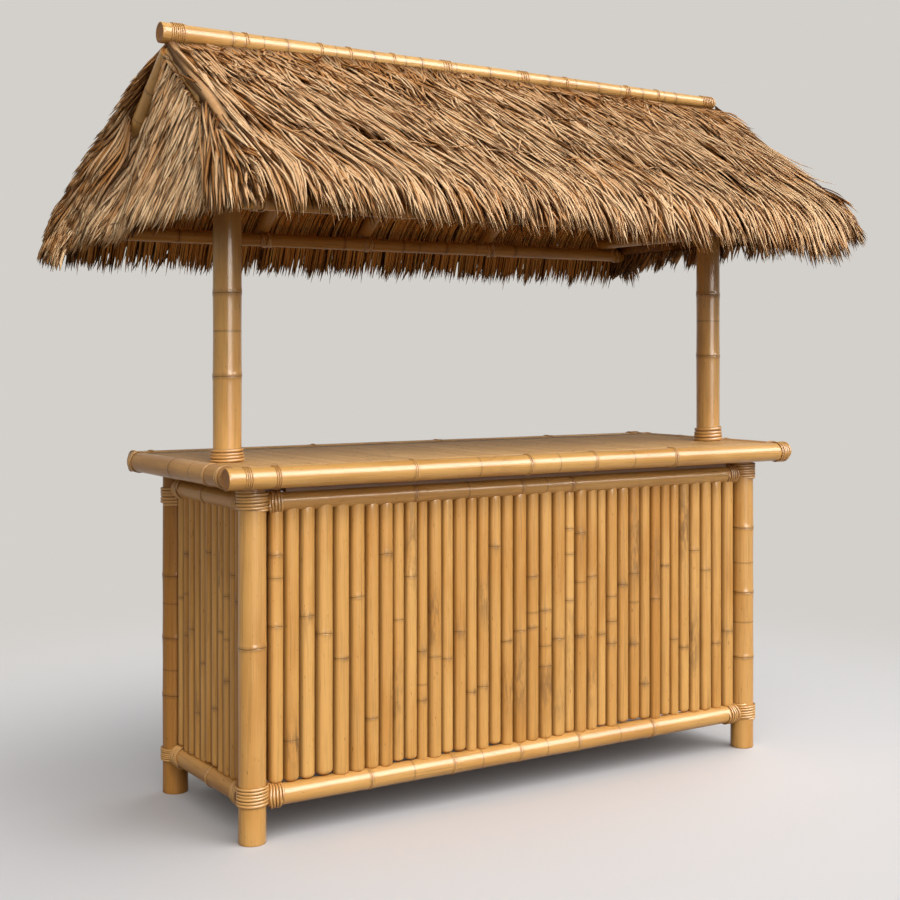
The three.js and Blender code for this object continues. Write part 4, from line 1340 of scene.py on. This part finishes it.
@dataclass
class Roofing:
    """Palm-leaf thatch on both slopes and at the gables.

    A blade is laid by its distance down the slope. The slope's section is a straight line at the
    roof's pitch that bends down smoothly at the eave: its height is the running sum of the sine of
    the slope's angle, which rises from the pitch to the fringe's angle over the bend. A course is
    given by the distances between which its tips lie and by its number of bundles. Each value of
    the blades is a column, with a row for each blade.
    """

    leaf: Material
    gable_leaf: Material
    under: Material
    bend_from: float = 0.70
    bend_to: float = 0.90
    fringe_angle: float = math.radians(72.0)
    widest: float = 1.270
    deepest: float = 0.774
    rafter_depth: float = 0.046
    seams: tuple = (0.31, 0.57)
    courses: tuple = (
        (1, ((0.50, 0.88, 290), (0.88, 0.94, 240))),
        (2, ((0.26, 0.60, 300),)),
        (3, ((0.10, 0.34, 270),)),
    )
    share: Array = field(default_factory=lambda: np.linspace(0.0, 1.0, 6))

    def build(self) -> None:
        """Makes the courses, the under layer, the seams and the gables."""
        for face in Face:
            for course, rows in self.courses:
                rng = np.random.default_rng(1000 + course * 10 + face.value)
                skin = Skin()
                for row in rows:
                    self.add_bundles(skin, face, *row, rng)
                self.thatch(skin, f"leaf_{face.label}_{course}", self.leaf, f"{face.label}_{course}")
            self.stems(face)
            self.mat(face)
            self.seam_cords(face)
        for side in Side:
            rng = np.random.default_rng(300 + side.value)
            self.gable(side, rng)
            self.rake_leaves(side, rng)
            self.corner_tuft(side, rng)
            self.gable_mat(side)
        self.verge_leaves()

    def thatch(self, skin: Skin, name: str, finish: Material, node: str) -> None:
        """Makes a piece of leaf that stands for a thatch node."""
        skin.build(name, finish, Slot.THATCH, f"thatch_{node}", smooth=False)

    def gable_piece(self, side: Side, kind: str, finish: Material, *blades: Array) -> None:
        """Makes a piece of blades at a gable.

        Args:
            side: The gable.
            kind: What the piece is.
            finish: Its material.
            *blades: What describes the blades.
        """
        skin = Skin()
        skin.add_blades(*blades)
        self.thatch(skin, f"{kind}_{side.label}", finish, f"gable_{side.label}")

    def place(self, face: Face, x: Array, down: Array, out: Array) -> tuple[Array, Array]:
        """Points and outward directions on the thatch.

        Args:
            face: The slope.
            x: Places along the roof.
            down: Distances down the slope.
            out: Heights over the rafters' backs.

        Returns:
            Points, and directions out of the thatch.
        """
        table = np.linspace(0.0, 1.4, 1401)
        bend = smooth_step(table, self.bend_from, self.bend_to - self.bend_from)
        angle = PITCH + (self.fringe_angle - PITCH) * bend
        step = table[1] - table[0]
        level = np.concatenate([[0.0], np.cumsum(np.cos(angle[:-1])) * step])
        drop = np.concatenate([[0.0], np.cumsum(np.sin(angle[:-1])) * step])
        here = np.interp(down, table, angle)
        y = np.minimum(np.interp(down, table, level) + out * np.sin(here), self.deepest)
        z = PEAK - np.interp(down, table, drop) + out * np.cos(here)
        points = np.stack([np.clip(x, -self.widest, self.widest), face.value * y, z], axis=-1)
        return points, np.stack([np.zeros_like(here), face.value * np.sin(here), np.cos(here)], axis=-1)

    def add_bundles(
        self, skin: Skin, face: Face, low: float, high: float, bundles: int, rng: np.random.Generator
    ) -> None:
        """Adds bundles of blades to a slope.

        The blades of a bundle start side by side, sway together as a sine of their length, and draw
        together towards the tip; a blade that lies lower in its bundle is painted darker, as shade.

        Args:
            skin: The mesh under construction.
            face: The slope.
            low: Least distance of a tip down the slope.
            high: Greatest distance of a tip; past 0.9 the tips follow the eave's line.
            bundles: Number of bundles.
            rng: Source of the small irregularities.
        """
        fringe, blades_each, share = high > 0.9, 5, self.share
        bunch = Draws(rng, bundles)
        lane = (np.arange(bundles)[:, None] + bunch.even(0.0, 1.0)) / bundles * 2.0 - 1.0
        tip_at = bunch.even(low, high)
        if fringe:
            tip_at = np.interp(lane * 1.1, *TAILS[face]) + 0.012 - np.abs(bunch.bell(0.040))
        toward = -face.value
        inner_edge = smooth_step(-lane * toward, 0.78, 0.2)
        any_edge = smooth_step(np.abs(lane), 0.86, 0.14)
        calm = 1.0 - smooth_step(np.abs(lane), 0.76, 0.18)
        loose = np.interp(tip_at, [0.1, 0.5, 0.9], [0.20, 0.13, 0.10])
        steady = np.interp(lane, [-1.0, 0.8, 1.0], [0.20, -0.02, 0.06]) if face is Face.FRONT else 0.15
        lean = steady * toward * (1.0 - inner_edge) + bunch.bell(1.0) * loose * calm
        size = bunch.even(0.012, 0.027) * (1.0 - 0.6 * any_edge)
        sway = bunch.bell(0.010) * (1.0 - 0.8 * any_edge)
        beat, long, shade = bunch.turn(), bunch.even(0.22, 0.37), bunch.bell(0.07)
        index = np.repeat(np.arange(bundles), blades_each)
        lane, tip_at, calm, lean, size, sway, beat, long, shade = (
            value[index] for value in (lane, tip_at, calm, lean, size, sway, beat, long, shade)
        )
        blade = Draws(rng, len(index))
        offset = np.tile(np.linspace(-1.0, 1.0, blades_each), bundles)[:, None] + blade.bell(0.22)
        lift = blade.even(0.0, 1.0)
        tip = tip_at + blade.bell(0.008 if fringe else 0.018) - 0.008 * np.abs(offset)
        length = np.minimum(long * blade.even(0.8, 1.15), np.maximum(tip - 0.018, 0.05))
        down = (tip - length) + length * share
        left, right = (side.value * np.interp(tip, *RAKES[face, side]) for side in Side)
        spread = size * offset * (1.0 - 0.45 * smooth_step(share, 0.45, 0.55))
        curve = sway * np.sin(beat + 4.4 * share)
        hang = np.clip((down - self.bend_from) / (self.bend_to - self.bend_from), 0.0, 1.3)
        slant = np.tan(lean + blade.bell(0.07) * calm) * length * (share - 1.0) * (1.35 - 0.55 * share)
        middle = (left + right) / 2.0 + lane * (right - left) / 2.0
        x = middle + spread + curve + slant * (1.0 - 0.45 * hang)
        hump = np.interp(
            x, [-1.08, -0.92, -0.62, -0.2, 0.3, 0.7, 1.0], [0.010, 0.018, 0.032, 0.030, 0.020, 0.010, 0.004]
        )
        out = 0.003 + 0.014 * lift + (0.004 + 0.020 * lift) * share**0.8
        out = out * np.clip(down / 0.09, 0.12, 1.0) + hump * (1.0 - smooth_step(down, 0.0, 0.10))
        flick = np.abs(blade.bell(0.016)) * blade.chance(0.25)
        path, outward = self.place(face, x, down, out + flick * share**3)
        width = blade.even(0.0092, 0.0136) * np.interp(middle, [-1.1, 1.1], [1.05, 0.86])
        upper = 0.34 * (1.0 - smooth_step(tip, 0.10, 0.34))
        # Painted shade: blades that lie lower in their bundle, with less lift, are darker; the tone also falls
        # towards the ridge.
        tone = np.clip(-0.02 + 1.02 * lift**0.9 - upper + shade + blade.bell(0.10), 0.0, 1.0)
        skin.add_blades(path, outward, width, tone, *blade.curls())

    def stems(self, face: Face) -> None:
        """Makes the close parallel leaf stems that show from below.

        Args:
            face: The slope.
        """
        tail = 0.855 if face is Face.FRONT else 0.965
        rows = [[0.012, 0.30, 0.58, 0.66], [0.34, 0.64, tail, tail - 0.012], [0.0, 0.0, 0.0, 0.0044]]
        columns = np.arange(-1.075, 1.075, 0.0088)
        start, end, aside = np.tile(rows, len(columns))[..., None]
        stem = Draws(np.random.default_rng(77 + face.value), len(start))
        at = np.repeat(columns, len(rows[0]))[:, None] + stem.bell(0.0012) + aside
        first, last = start + stem.even(-0.004, 0.02), end + stem.bell(0.012)
        share = np.linspace(0.0, 1.0, 8)
        down = first + (last - first) * share
        x = at * (1.0 + 0.05 * np.clip(down / 0.95, 0.0, 1.0)) + stem.bell(0.006) * share
        path, outward = self.place(face, x, down, 0.0025 + stem.even(0.0, 0.003) + 0.004 * (share < 0.12))
        width, tone = stem.even(0.0078, 0.0108), np.clip(stem.bell(0.25, 0.5), 0, 1)
        skin = Skin()
        skin.add_blades(path, -outward, width, tone, *stem.curls(0.15, 0.3, 0.25))
        self.thatch(skin, f"stems_{face.label}", self.under, f"{face.label}_1")

    def mat(self, face: Face) -> None:
        """Makes the thin closed sheet over the stems; its dark tone is painted shade that shows in the gaps between
        the blades.

        Args:
            face: The slope.
        """
        x, height = np.array([-1.06, 1.06, 1.06, -1.06]), np.array([0.006, 0.006, 0.011, 0.011])
        points, _ = self.place(face, *np.broadcast_arrays(x, np.linspace(0.02, 0.80, 24)[:, None], height))
        grid = points[None] if face is Face.REAR else points[None, :, ::-1]
        skin = Skin()
        # Tone 0: the sheet's dark colour is painted shade.
        skin.add_tubes(grid, blade=np.broadcast_to(np.array([0.0, 0.9, 0.0]), grid.shape))
        self.thatch(skin, f"mat_{face.label}", self.under, f"{face.label}_2")

    def seam_cords(self, face: Face) -> None:
        """Makes the thin leaf cords that hold the courses down along two lines of the slope.

        Each line is a chain of short blades laid end over end, and wanders as a sum of three sines.

        Args:
            face: The slope.
        """
        skin, count = Skin(), 26
        cord = Draws(np.random.default_rng(640 + face.value), count)
        share = np.linspace(0.0, 1.0, 7)
        for seam in self.seams:
            start = -0.95 + np.arange(count)[:, None] * 1.95 / count + cord.bell(0.01)
            x = np.minimum(start + cord.even(0.09, 0.15) * share, 1.06)
            wander = 0.010 * np.sin(7.0 * x + seam * 9) + 0.006 * np.sin(26.0 * x) + 0.004 * np.sin(61.0 * x)
            down = seam + 0.012 * (x + 0.2) + wander + cord.bell(0.004)
            out = 0.021 + 0.009 * np.sin(np.pi * share) + cord.bell(0.003)
            path, outward = self.place(face, x, down, out)
            width, fold = cord.even(0.0045, 0.0075), cord.even(0.2, 0.4)
            skin.add_blades(path, outward, width, cord.even(0.4, 0.85), fold, cord.bell(1.2))
        self.thatch(skin, f"seams_{face.label}", self.leaf, f"{face.label}_3")

    def ceiling(self, y: Array) -> Array:
        """Height under the roof that the gable's leaf keeps to, at places across the hut."""
        return PEAK - np.where(y > 0, self.rafter_depth, 0.026) - np.abs(y) * math.tan(PITCH)

    def gable_surface(self, side: Side, y: Array, z: Array) -> Array:
        """Distance of the gable's leaf from the middle of the hut, along X.

        Under the exposed part of the rear rafter it starts behind the rafter, further down it starts
        at the rake, and it flares with the power 1.25 of its depth under the roof.

        Args:
            side: The gable.
            y: Places across the hut.
            z: Heights.

        Returns:
            Distances, without sign.
        """
        down = np.abs(y) / math.cos(PITCH)
        depth = np.clip((PEAK - self.rafter_depth - np.abs(y) * math.tan(PITCH) - z) / 0.5, 0.0, 1.4)
        covered = smooth_step(down, 0.26, 0.22)
        rear = 1.060 + covered * (np.interp(down, *RAKES[Face.REAR, side]) - 0.020 - 1.060)
        front = np.interp(down, *RAKES[Face.FRONT, side]) + 0.012
        flare = np.where(y > 0, 0.115 - 0.07 * covered, 0.115) * depth**1.25
        return np.where(y > 0, rear, front) + flare

    def gable(self, side: Side, rng: np.random.Generator) -> None:
        """Makes the leaf that hangs at one gable and fans out towards the rear eave.

        A blade's tip lies at a height over the gable's foot; it runs up from there at its own lean,
        and is at most as long as the way up to the roof.

        Args:
            side: The gable.
            rng: Source of the small irregularities.
        """
        bundles, blades_each, share = 640, 3, self.share
        bunch = Draws(rng, bundles)
        y_tip = bunch.even(-0.60, 0.72)
        foot_line = np.interp(
            y_tip, [-0.60, -0.49, -0.39, -0.21, 0.0, 0.12, 0.72], [1.780, 1.770, 1.762, 1.750, 1.748, 1.734, 1.725]
        )
        height, held = bunch.even(0.0, 1.0), bunch.chance(0.25)
        height[held] = np.abs(rng.normal(0.0, 0.03, int(held.sum())))
        room = self.ceiling(y_tip)
        z_tip = foot_line + np.maximum(room - 0.05 - foot_line, 0.0) * height
        lean = np.interp(y_tip, [-0.6, -0.3, 0.0, 0.3, 0.7], [0.02, 0.20, 0.40, 0.56, 0.74]) + bunch.bell(0.10)
        long, size, sway = bunch.even(0.18, 0.34), bunch.even(0.006, 0.014), bunch.bell(0.008)
        beat, shade = bunch.turn(), bunch.bell(0.08)
        index = np.repeat(np.arange(bundles), blades_each)
        y_tip, z_tip, room, lean, long, size, sway, beat, shade = (
            value[index] for value in (y_tip, z_tip, room - z_tip, lean, long, size, sway, beat, shade)
        )
        blade = Draws(rng, len(index))
        offset = np.tile(np.linspace(-1.0, 1.0, blades_each), bundles)[:, None] + blade.bell(0.3)
        lift = blade.even(0.0, 1.0)
        tilt = lean + blade.bell(0.06)
        rise = np.cos(tilt) - np.sign(y_tip) * math.tan(PITCH) * np.sin(tilt)
        length = np.minimum(long * blade.even(0.8, 1.15), room / np.maximum(rise, 0.25) + 0.01)
        back = (1.0 - share) * length
        spread = size * offset * (1.0 - 0.5 * smooth_step(share, 0.35, 0.65))
        y = y_tip - np.sin(tilt) * back + spread + sway * np.sin(beat + 4.2 * share)
        z = np.minimum(z_tip + blade.bell(0.010) + np.cos(tilt) * back, self.ceiling(y))
        out = 0.003 + 0.012 * lift + (0.003 + 0.020 * lift) * share
        x = side.value * np.minimum(self.gable_surface(side, y, z) + out, self.widest)
        path = np.stack([x, np.clip(y, -self.deepest, self.deepest), z], axis=-1)
        outward = facing(path, side.value * 0.8, blade.bell(0.45, -0.45), blade.bell(0.2, 0.3))
        width = blade.even(0.0105, 0.0150) * np.clip(length / 0.12, 0.5, 1.0)
        width *= np.interp(y_tip, [-0.6, 0.0, 0.7], [0.92, 1.15, 1.5])
        # Painted shade: lower blades, with less lift, are darker, and the tone falls a little towards the rear. The
        # right gable's blades are painted paler, painted light for their face seen from inside the hut, which the
        # lamps barely reach.
        depth = np.interp(y_tip, [-0.6, 0.0, 0.7], [0.0, 0.08, 0.12]) - (0.25 if side is Side.RIGHT else 0.0)
        tone = np.clip(1.02 * lift**0.9 - depth + shade + blade.bell(0.16), 0.0, 1.0)
        self.gable_piece(side, "leaf_gable", self.gable_leaf, path, outward, width, tone, *blade.curls())

    def rake_leaves(self, side: Side, rng: np.random.Generator) -> None:
        """Makes the blades of the rear rake: a row that stands out past the roof's edge, and below
        the exposed part of the rafter a skirt that hangs over it.

        Args:
            side: The gable.
            rng: Source of the small irregularities.
        """
        edge_count, skirt_count, share = 460, 300, self.share
        blade = Draws(rng, edge_count + skirt_count)
        skirt = np.arange(blade.count)[:, None] >= edge_count
        tip = np.where(skirt, np.sqrt(blade.even(0.24, 0.90)), blade.even(0.12, 0.96))
        length = np.minimum(blade.even(0.12, 0.24), np.maximum(tip - np.where(skirt, 0.31, 0.0), 0.05))
        down = tip - length * (1.0 - share)
        height = np.where(skirt, blade.even(-0.10, 0.0), blade.even(0.002, 0.040))
        out = height - np.where(skirt, blade.even(0.01, 0.07), blade.even(-0.006, 0.012)) * share**1.2
        out = out + (1.0 - smooth_step(down, 0.26, 0.12)) * np.maximum(0.020 - out, 0.0)
        inset = np.where(skirt, 0.018, 0.030) * (1.0 - share)
        wide = np.interp(down, *RAKES[Face.REAR, side]) - inset + blade.even(-0.004, 0.020) * share
        path, _ = self.place(Face.REAR, side.value * np.minimum(wide, self.widest), down, out)
        outward = facing(path, side.value * 0.6, blade.bell(0.4, -0.7), blade.bell(0.2, 0.5))
        tone = np.clip(blade.bell(0.28, 0.55), 0.0, 1.0)
        width = blade.even(0.0120, 0.0185)
        self.gable_piece(side, "leaf_rake", self.gable_leaf, path, outward, width, tone, *blade.curls())

    def corner_tuft(self, side: Side, rng: np.random.Generator) -> None:
        """Makes the strands that fall from the end of the front rake over the end of the purlin.

        Each is a curve of the second degree from the rake to a tip on a bent line round the corner,
        with its knee pushed outwards; a strand of an upper layer ends higher.

        Args:
            side: The gable.
            rng: Source of the small irregularities.
        """
        sign, share = side.value, self.share[:, None]
        blade = Draws(rng, 190)
        turn, held = blade.even(0.0, 1.0), blade.chance(0.6)
        fall = np.where(held, 0.0, blade.even(0.0, 0.14))
        start = 0.44 + 0.26 * turn + blade.even(-0.05, 0.06) - 0.6 * fall
        root, _ = self.place(Face.FRONT, sign * blade.even(1.085, 1.110), start, blade.even(-0.02, 0.012))
        x = np.interp(turn, [0.0, 0.55, 1.0], [1.182, 1.180, 1.125]) - (0.0 if side is Side.LEFT else 0.03)
        x = x + blade.bell(0.007)
        y = np.interp(turn, [0.0, 0.55, 1.0], [-0.50, -0.655, -0.715]) + blade.bell(0.012)
        z = np.interp(turn, [0.0, 0.7, 1.0], [1.758, 1.754, 1.770]) + np.abs(blade.bell(0.018)) + fall
        tip = np.stack([sign * (x - 0.25 * fall), y + 0.3 * fall, z], axis=-1)
        knee = root * 0.42 + tip * 0.58
        knee[..., 2] = root[..., 2] * 0.66 + tip[..., 2] * 0.34
        knee[..., 0] += sign * 0.016
        path = root * (1 - share) ** 2 + 2 * knee * share * (1 - share) + tip * share**2
        outward = facing(path, sign * (1.1 - turn), -0.3 - turn + blade.bell(0.4), blade.bell(0.2, 0.3))
        tone = np.clip(blade.bell(0.28, 0.55), 0.0, 1.0)
        width = blade.even(0.0095, 0.0140)
        self.gable_piece(side, "leaf_corner", self.gable_leaf, path, outward, width, tone, *blade.curls())

    def gable_mat(self, side: Side) -> None:
        """Makes the close layer behind the gable's blades, parallel to their surface; its dark tone is painted shade
        that shows between the blades.

        Args:
            side: The gable.
        """
        top_line = PEAK - self.rafter_depth
        z = np.linspace(top_line - 0.03, 1.80, 14)[:, None]
        y = np.minimum((top_line - 0.012 - z) / math.tan(PITCH), 0.60) * np.linspace(-1.0, 1.0, 13)
        x = self.gable_surface(side, y, z) - 0.008
        outer, inner = (
            np.stack(np.broadcast_arrays(side.value * surface, y, z), axis=-1) for surface in (x, x - 0.004)
        )
        grid = np.concatenate([outer, inner[:, ::-1]], axis=1)[None]
        grid = grid[:, :, ::-1] if side is Side.LEFT else grid
        skin = Skin()
        # Tone 0.1: the layer's dark colour is painted shade.
        skin.add_tubes(grid, blade=np.broadcast_to(np.array([0.0, 0.9, 0.1]), grid.shape))
        self.thatch(skin, f"gable_mat_{side.label}", self.under, f"gable_{side.label}")

    def verge_leaves(self) -> None:
        """Makes the leaves that cover the front rakes from the ridge down.

        Long strands wind slowly round the rake's line as a helix whose radius shrinks downwards;
        a few broad leaves lie among them.
        """
        rng = np.random.default_rng(5)
        broad, long, thin = 4, 20, 34
        narrow, share = long + thin, np.linspace(0.0, 1.0, 18)
        blade = Draws(rng, broad + narrow)
        first = np.arange(blade.count)[:, None] < broad
        for side in Side:
            start = column([0.0, 0.02, 0.30, 0.38], rng.uniform(0.0, 0.16, long), rng.uniform(0.1, 0.6, thin))
            length = column([0.62, 0.40, 0.40, 0.36], rng.uniform(0.42, 0.60, long), rng.uniform(0.14, 0.30, thin))
            down = start + length * share
            turn = blade.turn() + 7.0 * down
            reach = column(np.full(broad, 0.003), rng.uniform(0.004, 0.018, long), rng.uniform(0.010, 0.024, thin))
            reach = reach * (1.1 - 0.5 * down)
            x = side.value * (1.088 + 0.012 * down + 0.5 * reach * np.cos(turn))
            out = -0.006 + 0.016 * first + 0.010 * down + reach * np.sin(turn)
            path, outward = self.place(Face.FRONT, x, down, out)
            outward = unit(outward * 0.5 + np.array([side.value * 0.8, -0.3, 0.0]))
            width = column([0.040, 0.034, 0.030, 0.024], rng.uniform(0.0080, 0.0125, narrow))
            tone = column([0.66, 0.6, 0.62, 0.5], np.clip(rng.normal(0.5, 0.3, narrow), 0.0, 1.0))
            twist = column([0.15, -0.3, 0.3, -0.4], rng.normal(0.0, 0.8, narrow))
            self.gable_piece(side, "verge", self.leaf, path, outward, width, tone, blade.even(0.15, 0.35), twist)


@dataclass(frozen=True)
class Lamp:
    """Distant lamp: where it stands, its strength, its width in degrees, and what its light shows on."""

    name: str
    toward: tuple
    energy: float
    spread: float
    on_matt_shaded: bool = True
    in_gloss: bool = True
    on_floor: bool = False


@dataclass
class Studio:
    """Pale floor, soft lamps and the camera."""

    backdrop: tuple = srgb(211, 208, 203)
    floor_tone: tuple = srgb(230, 229, 230)
    floor_bounce: tuple = srgb(136, 130, 122)
    floor_reach: float = 60.0
    fade_from: float = 1.2
    fade_to: float = 3.6
    world_light: float = 0.23
    lens: float = 58.01
    shift: float = -0.10833
    stand: tuple = (-2.697, -4.085, 1.399)
    heading: float = -32.485
    lamps: tuple = (
        Lamp("key", (-0.12, -0.86, 0.88), 1.72, 20.0),
        Lamp("front", (-0.10, -1.0, 0.38), 1.20, 34.0),
        Lamp("side", (0.44, -0.80, 0.50), 0.70, 24.0),
        Lamp("gloss_level", (0.50, -0.68, 0.54), 6.4, 42.0, on_matt_shaded=False),
        Lamp("gloss_upright", (-0.03, -1.0, 0.12), 4.2, 34.0, on_matt_shaded=False),
        Lamp("left", (-1.0, -0.30, 0.30), 0.44, 50.0, in_gloss=False),
        Lamp("fill", (0.95, -0.1, 0.4), 0.15, 40.0, in_gloss=False),
        Lamp("dome", (0.95, -0.25, 0.85), 1.8, 90.0, on_floor=True),
        Lamp("sky", (-0.10, -1.0, 0.7), 2.4, 110.0, on_floor=True),
    )

    def build(self) -> None:
        """Makes the floor, the world, the lamps and the camera."""
        self.world()
        self.light(self.floor())
        self.camera()

    def floor(self) -> bpy.types.Object:
        """Makes a wide floor that fades into the backdrop away from the hut.

        Returns:
            The floor.
        """
        far = self.floor_reach
        mesh = bpy.data.meshes.new("floor")
        mesh.from_pydata([(-far, -far, 0), (far, -far, 0), (far, far, 0), (-far, far, 0)], [], [(0, 1, 2, 3)])
        floor = bpy.data.objects.new("floor", mesh)
        bpy.context.scene.collection.objects.link(floor)
        material = Finish("studio_floor").build()
        w = Wiring(material.node_tree)
        shader, output = w.tree.nodes["Principled BSDF"], w.tree.nodes["Material Output"]
        seen = w.seen()
        colour = w.mix(seen, self.floor_bounce, self.floor_tone)
        w.feed(shader, {"Base Color": colour, "Roughness": 0.8, "Specular IOR Level": 0.1})
        strength = w.span(seen, 0.0, 1.0, self.world_light, 1.0)
        glow = w.add("ShaderNodeEmission", {"Color": self.backdrop, "Strength": strength})
        share = w.span(w.reach(w.place()), self.fade_from, self.fade_to)
        blend = w.add("ShaderNodeMixShader", {"Fac": share, 1: shader.outputs[0], 2: glow.outputs[0]})
        w.feed(output, {"Surface": blend.outputs[0]})
        mesh.materials.append(material)
        return floor

    def world(self) -> None:
        """Makes the world: the backdrop's colour to the camera and in gloss, a dimmer light to the rest."""
        world = bpy.data.worlds.new("studio")
        bpy.context.scene.world = world
        world.use_nodes = True
        w = Wiring(world.node_tree)
        strength = w.span(w.seen(), 0.0, 1.0, self.world_light, 1.0)
        w.feed(w.tree.nodes["Background"], {"Color": self.backdrop, "Strength": strength})

    def light(self, floor: bpy.types.Object) -> None:
        """Makes the lamps.

        Three of them light the hut from the front, two show in its gloss alone, as broad highlights
        along the level poles and the upright ones, and two lift the shade without a highlight. The
        last two light the floor alone, so that the hut's shadow is as soft as under a wide cloth.

        Args:
            floor: The floor.
        """
        for lamp in self.lamps:
            data = bpy.data.lights.new(lamp.name, "SUN")
            data.energy = lamp.energy
            data.angle = math.radians(lamp.spread)
            holder = bpy.data.objects.new(lamp.name, data)
            holder.visible_diffuse = lamp.on_matt_shaded
            holder.visible_glossy = lamp.in_gloss
            bpy.context.scene.collection.objects.link(holder)
            holder.rotation_euler = Vector(lamp.toward).to_track_quat("Z", "Y").to_euler()
            lit = bpy.data.collections.new(f"lit_by_{lamp.name}")
            lit.objects.link(floor)
            holder.light_linking.receiver_collection = lit
            if not lamp.on_floor:
                lit.collection_objects[0].light_linking.link_state = "EXCLUDE"

    def camera(self) -> None:
        """Makes the camera: level, with a shift down for the frame, as the straight poles show it."""
        data = bpy.data.cameras.new("camera")
        data.sensor_width = 36.0
        data.lens = self.lens
        data.shift_y = self.shift
        holder = bpy.data.objects.new("camera", data)
        holder.location = self.stand
        holder.rotation_euler = (math.radians(90.0), 0.0, math.radians(self.heading))
        bpy.context.scene.collection.objects.link(holder)
        bpy.context.scene.camera = holder


def dress_carried_nodes(board: Material) -> None:
    """Gives the nodes that stay in view their material.

    Args:
        board: Finish of the shelves and bearers.
    """
    for name in ("lower_shelf", "middle_shelf", "deck", "deck_bearer_front", "deck_bearer_rear"):
        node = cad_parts[name]
        node.data.materials.clear()
        node.data.materials.append(board)


def main() -> None:
    """Builds the hut piece by piece and the studio round it."""
    logging.basicConfig(level=logging.INFO, format="%(name)s %(message)s")
    bpy.context.scene.view_settings.view_transform = "Standard"
    pole = CulmFinish(
        "bamboo_varnished", *palette((222, 170, 98), (188, 128, 54), (128, 92, 52), (84, 48, 16), (176, 118, 62)),
        roughness=0.42, coat=0.75, coat_ior=1.36,
    ).build()
    # Matt, darker copy for pieces at the sides and in shade: its darker colours are painted shade.
    matt_shaded = CulmFinish(
        "bamboo_matt_shaded", *palette((216, 160, 86), (168, 112, 48), (120, 82, 42), (84, 48, 16), (170, 112, 56)),
        roughness=0.42, coat=0.25, coat_ior=1.36,
    ).build()
    # Darker copy for the purlins and tie beams under the leaf: its colours are painted shade.
    dark = CulmFinish(
        "bamboo_roof", *palette((212, 156, 76), (170, 112, 44), (124, 82, 38), (80, 44, 14), (160, 116, 66)),
        coat=0.2,
    ).build()
    cane = CulmFinish(
        "bamboo_cane", *palette((228, 176, 102), (188, 126, 50), (120, 88, 52), (84, 48, 16), (190, 142, 86)),
        roughness=0.42, coat=0.25, halo=0.25, flank=0.6, line=0.6,
    ).build()
    slat = CulmFinish(
        "bamboo_slat", *palette((240, 194, 130), (210, 158, 94), (160, 116, 66), (84, 48, 16), (190, 142, 86)),
        roughness=0.5, halo=0.2, flank=0.6, coat=0.0,
    ).build()
    rattan = RattanFinish("rattan_split", *palette((224, 170, 96), (184, 128, 60), (70, 38, 12))).build()
    leaf = LeafFinish("leaf_dry", *palette((52, 22, 1), (188, 130, 74), (242, 204, 158))).build()
    # The gable's leaf has more painted shade at blade roots and edges than the slopes' leaf.
    gable_leaf = LeafFinish("leaf_gable", *palette((46, 20, 1), (196, 136, 78), (252, 214, 166)), 0.65, 0.75).build()
    # The under layer's colours are paler and warmer, painted light for light bounced up onto the roof's underside;
    # its darkest colour paints the shade of the sheets behind the blades.
    under = LeafFinish("leaf_under", *palette((64, 32, 6), (222, 148, 70), (255, 204, 120)), 0.2, 0.45).build()
    plywood = palette((150, 104, 58), (108, 70, 36))
    board = BoardFinish("plywood_stained", *plywood).build()
    upright = BoardFinish("plywood_upright", *plywood, (26.0, 26.0, 1.6)).build()
    BarFrame(pole, matt_shaded, rattan).build()
    CaneWalls(cane, upright).build()
    Counter(pole, matt_shaded, slat, rattan).build()
    RoofFrame(pole, dark, rattan).build()
    Roofing(leaf, gable_leaf, under).build()
    dress_carried_nodes(board)
    Studio().build()


if __name__ == "__main__":
    main()
